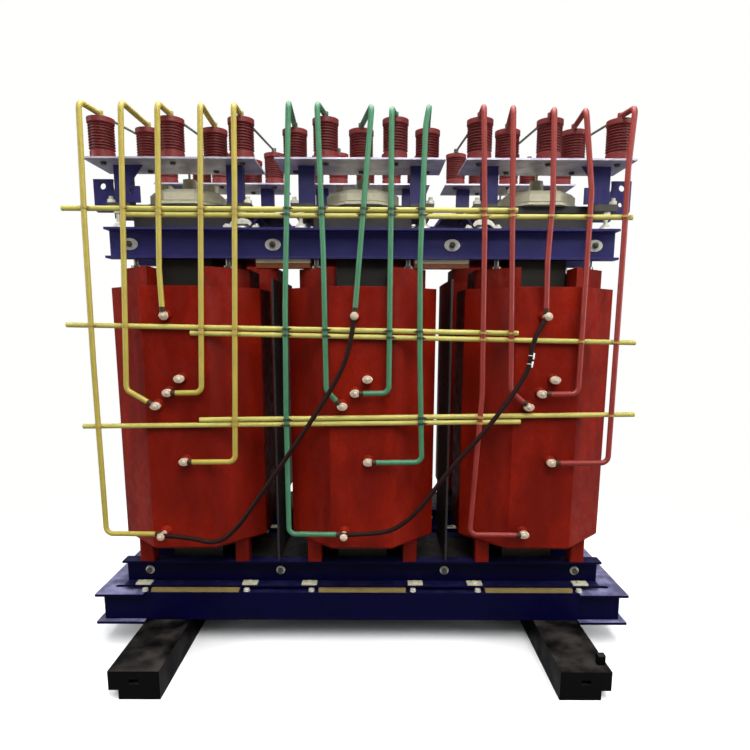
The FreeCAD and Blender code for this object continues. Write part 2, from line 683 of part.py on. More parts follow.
terminals = []
cable_ties = []
for index, (letter, phase) in enumerate(zip("abc", PHASES)):
    rods = []
    for seat, route, end in zip(seats(index, "front"), LEAD_ROUTES[letter], LEAD_ENDS):
        points = lead_points(seat, route, end)
        rods.append(shifted(lead_rod(seat, points), phase, FRONT))
        drops = [point + V(phase, 0, 0) for point in points[1:] if end == "t1" or point != points[-1]]
        for high, low in zip(drops, drops[1:]):
            for rail in RAILS:
                tie = cable_tie(low, high, rail)
                if tie:
                    cable_ties.append(shifted(tie, y=FRONT))
    save("lead_rods_" + letter, rods)
    terminals += [shifted(terminal(x, z), phase, FRONT) for x, z in TERMINALS.values()]
save("terminals", terminals)
save("cable_ties", cable_ties)
save("tie_rails", [shifted(rod(RAIL_RADIUS, *rail_ends(rail)), y=FRONT) for rail in RAILS])

links = []
rear_pins = []
for index, phase in enumerate(PHASES):
    for near, far in zip(seats(index, "front"), seats(index, "rear")):
        rear_pins.append(shifted(pin(far), phase, REAR, REAR_RISE))
        if near[1] == NEAR_Y:
            reach = PIN_RADIUS + SEAT_GAP
            start = V(phase + near[0], FRONT + near[1] + reach, INSULATOR_TOP + PIN_MIDDLE)
            end = V(phase + far[0], REAR + far[1] - reach, INSULATOR_TOP + PIN_MIDDLE + REAR_RISE)
            links.append(rod(LINK_RADIUS, start, end))
save("rear_pins", rear_pins)
save("link_rods", links)


# Jumper cables, in front of the lead rods, each from the top terminal of a coil to the lowest one
# of the coil on its left. Points are in the front row's own frame.

JUMPER_AB = ((-23, -322, 1262), (-34, -334, 1140), (-104, -340, 1000), (-230, -350, 812), (-352, -344, 636),
             (-440, -336, 512), (-512, -330, 462), (-602, -326, 486), (-714, -322, 491))
JUMPER_BC = ((621, -322, 1262), (566, -332, 1180), (562, -338, 1084), (508, -343, 996), (412, -351, 864),
             (300, -346, 738), (208, -341, 600), (124, -334, 520), (44, -328, 500), (-74, -322, 494))
JUMPER_TIES = (0.135, 0.16)

lugs = []
for name, corners, start_at, end_at in (
        ("jumper_ab", JUMPER_AB, PHASES[1], PHASES[0]), ("jumper_bc", JUMPER_BC, PHASES[2], PHASES[1])):
    points = [V(x, y + FRONT, z) for x, y, z in corners]
    cable, wire, radii = tube(points, JUMPER_RADIUS)
    save(name, [cable])
    print(name, "length", round(wire.Length), "smallest radii", [round(r) for r in sorted(radii)[:3]],
          "section by length", round(math.pi * JUMPER_RADIUS ** 2 * wire.Length), "volume", round(cable.Volume))
    for phase, (x, z) in ((start_at, TERMINALS["t1"]), (end_at, TERMINALS["t6"])):
        face = FRONT + LEAD_Y - HEAD_DEEP / 2
        lug = box(phase + x - LUG_HALF, phase + x + LUG_HALF, face - LUG_DEEP, face, z - LUG_HALF, z + LUG_HALF)
        lugs.append(lug.cut(cable))
    if name == "jumper_bc":
        bands = []
        for share in JUMPER_TIES:
            spot = wire.discretize(Number=201)
            at = int(share * 200)
            middle, ahead = spot[at], spot[at + 1] - spot[at]
            ahead.normalize()
            band = rod(JUMPER_RADIUS + TIE_WALL, middle, middle + ahead * TIE_WIDE)
            bands.append(band.cut(cable))
        save("jumper_ties", bands)
save("cable_lugs", lugs)


# Lifting lugs, cross ties and what stands between the phases

def lifting_lug(holes):
    """Right-hand lug plate across the row, hooked over the end of an end bar, its inner edge hollowed."""
    plate_end = PHASE_PITCH + TOP_PLATE_HALF[0]
    reach_in, reach_out, rise = LIFT_LUG
    inner, outer, low, high = plate_end - reach_in, plate_end + reach_out, PACKING_TOP, TOP_PLATE_TOP + rise
    y = -LIFT_LUG_Y - LIFT_LUG_SKIN / 2
    neck = outer - LIFT_NECK
    corners = [V(neck, y, high), V(outer, y, high), V(outer, y, low + LIFT_CORNER),
               V(outer - LIFT_CORNER, y, low), V(plate_end, y, low), V(plate_end, y, TOP_PLATE_TOP),
               V(inner, y, TOP_PLATE_TOP)]
    edges = [Part.LineSegment(a, b).toShape() for a, b in zip(corners, corners[1:])]
    middle = V(neck - (neck - inner) * 0.28, y, TOP_PLATE_TOP + (high - TOP_PLATE_TOP) * 0.3)
    edges.append(Part.Arc(corners[-1], middle, corners[0]).toShape())
    shape = Part.Face(Part.Wire(edges)).extrude(V(0, LIFT_LUG_SKIN, 0))
    for inset_x, inset_z, radius in holes:
        start = V(outer - inset_x, y - LIFT_LUG_SKIN, high - inset_z)
        shape = shape.cut(Part.makeCylinder(radius, 3 * LIFT_LUG_SKIN, start, V(0, 1, 0)))
    return shape


def small_lug():
    """Small drilled plate between the insulating block and the post of the end phase."""
    wide, deep, high = SMALL_LUG
    x1 = PHASE_PITCH + TOP_PLATE_HALF[0] - SMALL_LUG_INSET
    x0, y1 = x1 - wide, SMALL_LUG_OUT - TOP_PLATE_HALF[1]
    y0 = y1 - deep
    shape = box(x0, x1, y0, y1, TOP_PLATE_TOP, TOP_PLATE_TOP + high)
    centre = V((x0 + x1) / 2, y0, TOP_PLATE_TOP + high * 0.7)
    hole = Part.makeCylinder(SMALL_LUG_HOLE, y1 - y0, centre, V(0, 1, 0))
    return shape.cut(hole)


def cross_tie(x):
    """Folded saddle from the front clamp to the back clamp."""
    base, top, high, skin = CROSS_TIE
    long = CLAMP_TIP - 2
    outline = ((base, 0), (top, high), (-top, high), (-base, 0), (-base + skin * 1.2, 0),
               (-top + skin * 0.6, high - skin), (top - skin * 0.6, high - skin), (base - skin * 1.2, 0))
    points = [V(x + dx, -long, UPPER_CLAMP_TOP + dz) for dx, dz in outline]
    return Part.Face(Part.makePolygon(points + points[:1])).extrude(V(0, 2 * long, 0))


lift_lugs = []
cross_ties = []
for row_y, rise in ROWS.values():
    right, left = lifting_lug(LIFT_HOLES), mirror_x(lifting_lug(LIFT_HOLES[:1]))
    small = small_lug()
    for shape in (right, mirror_y(right), left, mirror_y(left), small, mirror_x(small)):
        lift_lugs.append(shifted(shape, 0, row_y, rise))
    cross_ties += [shifted(cross_tie(x), 0, row_y, rise) for x in (-PHASE_PITCH / 2, PHASE_PITCH / 2)]
save("lifting_lugs", lift_lugs)
save("cross_ties", cross_ties)

bars, bar_tops, boards = [], [], []
seam = UPPER_CLAMP_BOTTOM - PHASE_BAR_TOP_HIGH
for row_y, rise in ROWS.values():
    for shape, pieces in (
            (box(*PHASE_BAR_X, *PHASE_BAR_Y, seam - PHASE_BAR_HIGH, seam), bars),
            (box(*PHASE_BAR_X, *PHASE_BAR_Y, seam, UPPER_CLAMP_BOTTOM), bar_tops)):
        front = shifted(mirror_y(shape), 0, row_y, rise)
        pieces += [front, mirror_x(front)]
for x in (-PHASE_PITCH / 2, PHASE_PITCH / 2):
    half, y0, y1, high = BARRIER
    boards.append(box(x - half, x + half, FRONT + y0, FRONT + y1, YOKE_BOTTOM + YOKE_HIGH, high))
save("phase_bars", bars)
save("phase_bar_tops", bar_tops)
save("barrier_boards", boards)
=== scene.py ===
"""Looks of a dry magnetically controlled reactor: finishes, small fittings, cables, light and camera."""

import json
import logging
import math
from dataclasses import dataclass, field, replace
from enum import Enum

import bmesh
import bpy
from mathutils import Matrix, Vector

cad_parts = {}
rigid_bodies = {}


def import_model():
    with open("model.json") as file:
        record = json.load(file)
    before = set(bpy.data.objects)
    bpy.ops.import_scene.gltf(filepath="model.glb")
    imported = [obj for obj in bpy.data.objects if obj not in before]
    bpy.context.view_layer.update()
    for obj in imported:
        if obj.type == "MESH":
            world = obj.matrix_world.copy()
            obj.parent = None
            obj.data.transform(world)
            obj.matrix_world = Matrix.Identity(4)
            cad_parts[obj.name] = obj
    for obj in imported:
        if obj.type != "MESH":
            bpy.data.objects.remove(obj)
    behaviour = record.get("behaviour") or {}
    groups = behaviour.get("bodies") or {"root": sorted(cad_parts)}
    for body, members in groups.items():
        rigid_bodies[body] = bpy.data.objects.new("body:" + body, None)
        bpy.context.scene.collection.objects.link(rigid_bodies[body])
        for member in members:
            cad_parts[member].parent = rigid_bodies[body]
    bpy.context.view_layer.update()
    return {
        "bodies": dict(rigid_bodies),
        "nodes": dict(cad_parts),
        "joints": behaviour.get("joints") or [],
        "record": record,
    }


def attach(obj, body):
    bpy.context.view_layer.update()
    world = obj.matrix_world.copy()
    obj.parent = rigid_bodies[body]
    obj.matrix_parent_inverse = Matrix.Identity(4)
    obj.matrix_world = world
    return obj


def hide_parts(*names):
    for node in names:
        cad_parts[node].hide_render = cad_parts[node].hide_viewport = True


log = logging.getLogger("reactor")

MM = 0.001
BODY = "root"

# Places that the fittings share with the construction, in metres
FRONT_ROW_Y = -0.329
PHASES = (-0.640, 0.0, 0.640)
LEAD_Y = -0.302
COIL_FACE_Y = -0.268
HEAD_DEPTH = 0.022
TERMINALS = ((-0.023, 1.252), (0.020, 1.040), (-0.022, 0.992), (-0.066, 0.947), (0.023, 0.751),
             (-0.062, 0.489))
# Ways from the terminals up their leads, in millimetres across and up, for each phase from the left
SIDE_RUNS = {2: (115, 2), 4: (180, 2), 5: (-200, 2)}
LAST_RUNS = ({0: (-3, 148), 3: (-94, 56), **SIDE_RUNS}, {0: (56, 630), 3: (-54, 56), **SIDE_RUNS},
             {0: (-5, 178), 3: (-65, 56), **SIDE_RUNS})
UPPER_TERMINAL = TERMINALS[0]
LOWER_TERMINAL = TERMINALS[5]
JUMPER_ENDS = ((PHASES[1], UPPER_TERMINAL), (PHASES[0], LOWER_TERMINAL), (PHASES[2], UPPER_TERMINAL),
               (PHASES[1], LOWER_TERMINAL))
JUMPER_DIAMETER = 0.016

Socket = bpy.types.NodeSocket
Colour = tuple[float, float, float, float]
Pair = tuple[float, float]
Triple = tuple[float, float, float]
Profile = list[Pair]


class Pattern(Enum):
    """How the fine structure of a surface runs."""

    CAST = "cast"
    SPRAYED = "sprayed"
    LAMINATED = "laminated"
    BRUSHED = "brushed"
    SLEEVED = "sleeved"
    FIBROUS = "fibrous"


@dataclass(frozen=True)
class Finish:
    """One real material and how its surface was made. Sizes are in millimetres.

    The grain is the fine structure. Where the real one is too fine to show, such as a weave, a rolled line
    or the edges of thin sheets, it is drawn coarser, and the comment on the finish says so.
    """

    name: str
    slot: str
    pattern: Pattern
    colour: str
    second: str
    patch_mm: float
    patch_share: float
    rough: tuple[float, float]
    grain_mm: float
    relief_mm: float
    metallic: float = 0.0
    coat: float = 0.0
    edge_mm: float = 1.0
    # Dust on what faces up; on the blue enamels it also stands for painted top light
    dust_and_top_light: str = ""
    dust_and_top_light_share: float = 0.0
    dust_and_top_light_least: float = 0.3
    patch_stretch: float = 1.0
    specular: float = 0.5


# How far each pattern is squeezed along a piece's own axes (less than one draws it out), and its levels
# of detail
GRAINS = {
    Pattern.CAST: ((1, 1, 0.6), 4),
    Pattern.SPRAYED: ((1, 1, 1), 2),
    Pattern.BRUSHED: ((0.08, 1, 1), 2),
    Pattern.SLEEVED: ((1, 1, 0.35), 2),
    Pattern.FIBROUS: ((0.2, 1, 3.5), 3),
}

# Epoxy cast in a mould: satin, with faint flow marks of 9 mm, and large darker patches drawn out upright: a
# mottled tone and painted streaks of reflection
CAST_RESIN = Finish("cast_epoxy_resin_moulded", "cast_resin", Pattern.CAST, "841807", "520902", 130, 0.75,
                    (0.34, 0.56), 9, 0.08, edge_mm=3.0, dust_and_top_light="8a4a30", dust_and_top_light_share=0.1, specular=0.1,
                    patch_stretch=0.35)
# Alkyd enamel sprayed on blasted steel: an orange peel of about 2 mm, dust and painted top light on what
# faces up
BLUE_ENAMEL = Finish("blue_enamel_sprayed", "blue_paint", Pattern.SPRAYED, "100c46", "0a072f", 120, 0.5,
                     (0.30, 0.44), 2.2, 0.03, coat=0.08, edge_mm=1.5, dust_and_top_light="a3a1ca", dust_and_top_light_share=0.6,
                     specular=0.3)
# The side beams take a darker copy with less gloss, painted shade, and dust and painted top light on their
# tops
BLUE_ENAMEL_PAINTED_SHADE = replace(BLUE_ENAMEL, name="blue_enamel_with_painted_shade", slot="deep_blue_paint",
                           colour="04022c", second="03021e", patch_mm=160, rough=(0.36, 0.52), coat=0.0,
                           specular=0.08)
# The long beams and the lower clamps below the coils take the same painted shade, with a dark, thin layer of
# dust and top light: painted coil shade
BLUE_ENAMEL_PAINTED_COIL_SHADE = replace(BLUE_ENAMEL_PAINTED_SHADE, name="blue_enamel_with_painted_coil_shade",
                                slot="sheltered_blue_paint", colour="04032c", patch_mm=120, dust_and_top_light="34325c",
                                dust_and_top_light_share=0.35)
# The upper clamps and what is bolted on them take a lighter copy with a fine bloom: painted light
BLUE_ENAMEL_PAINTED_LIGHT = replace(BLUE_ENAMEL, name="blue_enamel_with_painted_light", slot="thin_blue_paint",
                           colour="29265f", second="1e1b4c", patch_mm=90, patch_share=0.6, rough=(0.34, 0.50),
                           coat=0.05, dust_and_top_light_share=0.45)
# Thick black enamel brushed over steel bars: an uneven film with waves of 7 mm, dusty along the top
BLACK_ENAMEL = Finish("black_enamel_brushed_on", "black_paint", Pattern.SPRAYED, "010101", "040303", 300, 0.6,
                      (0.34, 0.52), 7, 0.06, edge_mm=2.0, dust_and_top_light="6a645f", dust_and_top_light_share=0.22, dust_and_top_light_least=0.0,
                      specular=0.1)
# Silicon steel sheets stacked and varnished: dark, with fine lines along the edges of the sheets. Such
# sheets are about 0.3 mm thick, too fine to show, so the lines are drawn 2.4 mm apart
CORE_STEEL = Finish("silicon_steel_stacked_varnished", "core_steel", Pattern.LAMINATED, "14130d", "242217",
                    80, 0.5, (0.42, 0.60), 2.4, 0.25, metallic=0.25, edge_mm=0.8)
# Glass cloth laminate sawn to strips: a dull tan. Its threads, under 1 mm wide, are drawn 1.6 mm wide
GLASS_LAMINATE = Finish("glass_cloth_laminate_sawn", "pressed_board", Pattern.FIBROUS, "8d7a44", "766432", 40,
                        0.6, (0.45, 0.60), 1.6, 0.08, edge_mm=0.6)
# Steel hardware dipped in clear passivate over zinc: soft silver, slightly yellowed. Its fine lines are
# drawn 1.2 mm wide, coarser than real ones
ZINC = Finish("zinc_plate_clear_passivated", "zinc", Pattern.BRUSHED, "dedccf", "b5b1a2", 14, 0.6,
              (0.30, 0.48), 1.2, 0.03, metallic=0.4, edge_mm=0.8)
# Turned steel studs and nuts: darker than the zinc, partly as steel and partly as painted shade in the middle
# of the clamp washers.
# Tool lines are drawn 0.8 mm wide, coarser than real ones
TURNED_STEEL = Finish("steel_turned_with_painted_shade", "steel", Pattern.BRUSHED, "6f6c66", "45423d", 12, 0.5,
                      (0.25, 0.42), 0.8, 0.03, metallic=0.9, edge_mm=0.6)
# Phenolic board, sawn and rubbed: almost black, with a grey bloom on top. Its fibres, finer than a
# millimetre, are drawn 2 mm wide
DARK_BOARD = Finish("phenolic_board_sawn", "dark_board", Pattern.FIBROUS, "171514", "262120", 50, 0.5,
                    (0.42, 0.60), 2.0, 0.06, edge_mm=0.8, dust_and_top_light="6d675f", dust_and_top_light_share=0.16)
# Moulding compound pressed in a die: smooth cream, slightly yellowed
CREAM_COMPOUND = Finish("moulding_compound_pressed", "cream_resin", Pattern.CAST, "c6c1a6", "aca68c", 30, 0.5,
                        (0.36, 0.52), 3, 0.06, edge_mm=1.5)
# Epoxy post insulators from a blasted mould: a satin brownish red. The blasted grain is too fine to
# show, so it is drawn at 2.5 mm
INSULATOR_EPOXY = Finish("insulator_epoxy_moulded", "insulator_resin", Pattern.CAST, "6e211e", "511410", 25,
                         0.45, (0.42, 0.56), 2.5, 0.03, edge_mm=1.2, dust_and_top_light="8a5048", dust_and_top_light_share=0.15,
                         specular=0.3)
# Cold rolled stainless sheet: pale and bright. Its rolled lines along the row are too fine to show, so
# they are drawn 1.5 mm wide
PLATE_STEEL = Finish("stainless_sheet_rolled", "plate_steel", Pattern.BRUSHED, "d5d0dd", "8d8a9c", 70, 0.7,
                     (0.34, 0.50), 1.5, 0.02, metallic=0.55, edge_mm=0.5)
# Hot rolled steel bars that keep their mill scale: grey-brown and dull, with scale marks 2 mm wide
END_BAR_STEEL = Finish("steel_bar_hot_rolled", "hot_rolled_steel", Pattern.BRUSHED, "47443b", "302e28",
                       30, 0.6, (0.44, 0.62), 2.0, 0.05, metallic=0.3, edge_mm=0.8)
# Polyolefin sleeves shrunk over copper rod: satin, with slow waves of 12 mm from the heat. The leads of
# each phase have their own colour
YELLOW_SLEEVE = Finish("yellow_sleeve_shrunk_on_rod", "yellow_sleeve", Pattern.SLEEVED, "a29341", "8e7f34",
                       60, 0.5, (0.36, 0.50), 12, 0.16, edge_mm=0.5, specular=0.3)
GREEN_SLEEVE = replace(YELLOW_SLEEVE, name="green_sleeve_shrunk_on_rod", slot="green_sleeve", colour="3e7352",
                       second="326244")
RED_SLEEVE = replace(YELLOW_SLEEVE, name="red_sleeve_shrunk_on_rod", slot="red_sleeve", colour="812c25",
                     second="6d1e18")
# The rails take a paler copy of the lead sleeve: painted light
RAIL_SLEEVE_PAINTED_LIGHT = replace(YELLOW_SLEEVE, name="yellow_sleeve_with_painted_light_on_rail", slot="rail_sleeve",
                      colour="b3ab5a", second="9d954a")
# Short dark collars shrunk over the ends of the leads: tighter waves, little gloss
COLLAR_SLEEVE = Finish("collar_shrunk_over_lead_end", "collar_sleeve", Pattern.SLEEVED, "3a2412", "2a190c",
                       20, 0.5, (0.40, 0.56), 5, 0.12, edge_mm=0.5, specular=0.2)
# Thin sleeves shrunk on the link rods: a dull grey green
GREY_SLEEVE = Finish("grey_sleeve_shrunk_on_wire", "grey_green_sleeve", Pattern.SLEEVED, "6e786a", "5a6356",
                     40, 0.5, (0.4, 0.55), 8, 0.1, edge_mm=0.4)
# Extruded rubber sheath: a dull brown-black with faint ripples of 6 mm
CABLE_RUBBER = Finish("cable_rubber_extruded", "black_rubber", Pattern.SLEEVED, "160504", "210a07", 40, 0.5,
                      (0.48, 0.64), 6, 0.12, edge_mm=0.5, specular=0.12)
# Moulded nylon ties: smooth, with a slight sheen
DARK_NYLON = Finish("dark_nylon_moulded", "tie_nylon", Pattern.CAST, "1b1a19", "262423", 8, 0.4,
                    (0.38, 0.5), 1, 0.02, edge_mm=0.4)
WHITE_NYLON = replace(DARK_NYLON, name="white_nylon_moulded", slot="white_nylon", colour="e6e4dc",
                      second="d2cfc4")
# Uncoloured nylon that has turned yellow
AGED_NYLON = replace(DARK_NYLON, name="aged_nylon_moulded", slot="aged_nylon", colour="9a8438",
                     second="7d6528")
# Varnished paper laminate: a glossy brown. Its paper fibres are too fine to show, so they are drawn
# 1.8 mm wide
BROWN_BOARD = Finish("paper_laminate_varnished", "brown_board", Pattern.FIBROUS, "7d3f12", "5a2a0b", 30, 0.6,
                     (0.30, 0.44), 1.8, 0.05, coat=0.3, edge_mm=0.6)
# Tinned copper-alloy bolt heads and lugs: a soft pale metal, warm from the copper beneath. Tool lines
# are drawn 0.8 mm wide, coarser than real ones
TINNED_COPPER = Finish("copper_alloy_tinned", "pink_metal", Pattern.BRUSHED, "cfbfa8", "a8937d", 9, 0.6,
                       (0.30, 0.48), 0.8, 0.03, metallic=0.35, edge_mm=0.7)

FINISHES = (CAST_RESIN, BLUE_ENAMEL, BLUE_ENAMEL_PAINTED_SHADE, BLUE_ENAMEL_PAINTED_COIL_SHADE, BLUE_ENAMEL_PAINTED_LIGHT, BLACK_ENAMEL,
            CORE_STEEL, GLASS_LAMINATE, ZINC, TURNED_STEEL, DARK_BOARD, CREAM_COMPOUND, INSULATOR_EPOXY,
            PLATE_STEEL, END_BAR_STEEL, YELLOW_SLEEVE, RAIL_SLEEVE_PAINTED_LIGHT, GREEN_SLEEVE, RED_SLEEVE, CABLE_RUBBER,
            DARK_NYLON, AGED_NYLON, WHITE_NYLON, BROWN_BOARD, TINNED_COPPER, COLLAR_SLEEVE, GREY_SLEEVE)

# Settings of nodes that map one range smoothly to another, and that mix colours
SMOOTH = {"interpolation_type": "SMOOTHSTEP"}
RGBA = {"data_type": "RGBA"}

# Nodes whose finish differs from the others of their slot, by how their names start
OWN_FINISH = {
    "tie_rails": "rail_sleeve",
    "end_bars": "hot_rolled_steel",
    "side_beam": "deep_blue_paint",
    "long_beams": "sheltered_blue_paint",
    "lower_clamp": "sheltered_blue_paint",
    "upper_clamp": "thin_blue_paint",
    "frame_posts": "thin_blue_paint",
    "lifting_lugs": "thin_blue_paint",
}


def linear(code: str) -> Colour:
    """Turn an sRGB hex code into linear colour.

    Args:
        code: Six hex digits.

    Returns:
        Red, green, blue and an alpha of one.
    """
    values = [int(code[i:i + 2], 16) / 255 for i in (0, 2, 4)]
    red, green, blue = (v / 12.92 if v <= 0.04045 else ((v + 0.055) / 1.055) ** 2.4 for v in values)
    return red, green, blue, 1.0


def add_node(tree: bpy.types.NodeTree, kind: str, settings: dict | None = None,
             values: dict | None = None, links: dict | None = None) -> bpy.types.Node:
    """Add one node with its settings, its input values and its links.

    Args:
        tree: The node tree.
        kind: The node's type name, after its common ShaderNode.
        settings: Properties of the node itself.
        values: Values of inputs, by name or number.
        links: Output sockets to link, by the name or number of the input.

    Returns:
        The new node.
    """
    node = tree.nodes.new("ShaderNode" + kind)
    for name, value in (settings or {}).items():
        setattr(node, name, value)
    for name, value in (values or {}).items():
        node.inputs[name].default_value = value
    for name, socket in (links or {}).items():
        tree.links.new(socket, node.inputs[name])
    return node


def add_object(name: str, data: bpy.types.ID) -> bpy.types.Object:
    """Add an object to the scene.

    Args:
        name: Its name.
        data: Its mesh, curve, light or camera.

    Returns:
        The new object.
    """
    made = bpy.data.objects.new(name, data)
    bpy.context.scene.collection.objects.link(made)
    return made


class MaterialMaker:
    """Builds one node material from a finish, layer by layer."""

    # Specks of dust and painted top light, and patches of gloss, as shares of a colour patch
    SPECK_SHARE = 0.4
    GLOSS_SHARE = 0.3
    # At this scale the wave texture draws about one band to each unit
    BAND_SCALE = 0.31

    def __init__(self, finish: Finish) -> None:
        """Start an empty material.

        Args:
            finish: The finish to build.
        """
        self.finish = finish
        self.material = bpy.data.materials.new(finish.name)
        self.material.use_nodes = True
        self.tree = self.material.node_tree
        self.tree.nodes.clear()
        self.place = add_node(self.tree, "TexCoord").outputs["Object"]

    def noise(self, size_mm: float, stretch: Triple, detail: float) -> Socket:
        """Noise whose blotches have a real size.

        Args:
            size_mm: Size of a blotch.
            stretch: How much the pattern is squeezed along each axis.
            detail: Levels of finer noise.

        Returns:
            The noise's value socket.
        """
        scale = tuple(s / (size_mm * MM) for s in stretch)
        mapped = add_node(self.tree, "Mapping", values={"Scale": scale},
                          links={"Vector": self.place})
        node = add_node(self.tree, "TexNoise",
                        values={"Scale": 1.0, "Detail": detail, "Roughness": 0.55},
                        links={"Vector": mapped.outputs[0]})
        return node.outputs["Fac"]

    def patches(self, size_mm: float, low: float, high: float, detail: float, stretch: Triple = (1, 1, 1),
                limits: Pair = (0.3, 0.7)) -> Socket:
        """Soft patches of a real size.

        Args:
            size_mm: Size of a patch.
            low: Value between the patches.
            high: Value in a patch.
            detail: Levels of finer noise.
            stretch: How much the pattern is squeezed along each axis.
            limits: Noise where a patch starts and where it is full.

        Returns:
            The patches' value socket.
        """
        node = add_node(self.tree, "MapRange", SMOOTH,
                        {"From Min": limits[0], "From Max": limits[1], "To Min": low, "To Max": high},
                        {"Value": self.noise(size_mm, stretch, detail)})
        return node.outputs["Result"]

    def grain(self) -> Socket:
        """The fine structure of this finish's pattern: bands across y for sheets, noise for the rest.

        Returns:
            Its value socket.
        """
        size_mm = self.finish.grain_mm
        if self.finish.pattern is not Pattern.LAMINATED:
            return self.noise(size_mm, *GRAINS[self.finish.pattern])
        mapped = add_node(self.tree, "Mapping", values={"Scale": (1 / (size_mm * MM),) * 3},
                          links={"Vector": self.place})
        node = add_node(self.tree, "TexWave", {"bands_direction": "Y"},
                        {"Scale": self.BAND_SCALE, "Distortion": 0.6, "Detail": 2.0, "Detail Scale": 1.5},
                        {"Vector": mapped.outputs[0]})
        return node.outputs["Fac"]

    def dusted_and_top_lit(self, colour: Socket) -> Socket:
        """Lay dust and painted top light over a colour where the surface faces up.

        Args:
            colour: The clean colour socket.

        Returns:
            The colour socket with dust and painted top light.
        """
        finish = self.finish
        geometry = add_node(self.tree, "NewGeometry")
        split = add_node(self.tree, "SeparateXYZ", links={0: geometry.outputs["Normal"]})
        facing = add_node(self.tree, "MapRange", SMOOTH, {"From Min": 0.1, "From Max": 0.9},
                          {"Value": split.outputs["Z"]})
        specks = self.patches(finish.patch_mm * self.SPECK_SHARE, finish.dust_and_top_light_least, 1.0, 5,
                              limits=(0.38, 0.72))
        share = add_node(self.tree, "Math", {"operation": "MULTIPLY"},
                         links={0: facing.outputs["Result"], 1: specks})
        scaled = add_node(self.tree, "Math", {"operation": "MULTIPLY"}, {1: finish.dust_and_top_light_share},
                          {0: share.outputs[0]})
        # Mix in the dust colour: dust, and on the blue enamels painted top light
        mixed = add_node(self.tree, "Mix", RGBA, {7: linear(finish.dust_and_top_light)},
                         {0: scaled.outputs[0], 6: colour})
        return mixed.outputs[2]

    def make(self) -> bpy.types.Material:
        """Build the whole material: patches of the second colour, its grain, dust and painted top light,
        gloss and relief.

        Returns:
            The finished material.
        """
        finish = self.finish
        first, second = linear(finish.colour), linear(finish.second)
        patches = self.patches(finish.patch_mm, 0.0, finish.patch_share, 4, (1, 1, finish.patch_stretch))
        patched = add_node(self.tree, "Mix", RGBA, {6: first, 7: second}, {0: patches})
        grain = self.grain()
        fine = add_node(self.tree, "MapRange", SMOOTH,
                        {"From Min": 0.3, "From Max": 0.7, "To Max": 0.35}, {"Value": grain})
        grained = add_node(self.tree, "Mix", RGBA, {7: second},
                           {0: fine.outputs["Result"], 6: patched.outputs[2]})
        colour = self.dusted_and_top_lit(grained.outputs[2]) if finish.dust_and_top_light else grained.outputs[2]
        rough = self.patches(finish.patch_mm * self.GLOSS_SHARE, *finish.rough, 3)
        rounded = add_node(self.tree, "Bevel", {"samples": 4}, {"Radius": finish.edge_mm * MM})
        bump = add_node(self.tree, "Bump",
                        values={"Strength": 0.6, "Distance": finish.relief_mm * MM},
                        links={"Height": grain, "Normal": rounded.outputs[0]})
        shader = add_node(self.tree, "BsdfPrincipled",
                          values={"Metallic": finish.metallic, "Coat Weight": finish.coat,
                                  "Coat Roughness": 0.18, "Specular IOR Level": finish.specular},
                          links={"Base Color": colour, "Roughness": rough, "Normal": bump.outputs[0]})
        add_node(self.tree, "OutputMaterial", links={"Surface": shader.outputs[0]})
        self.material.diffuse_color = first
        return self.material


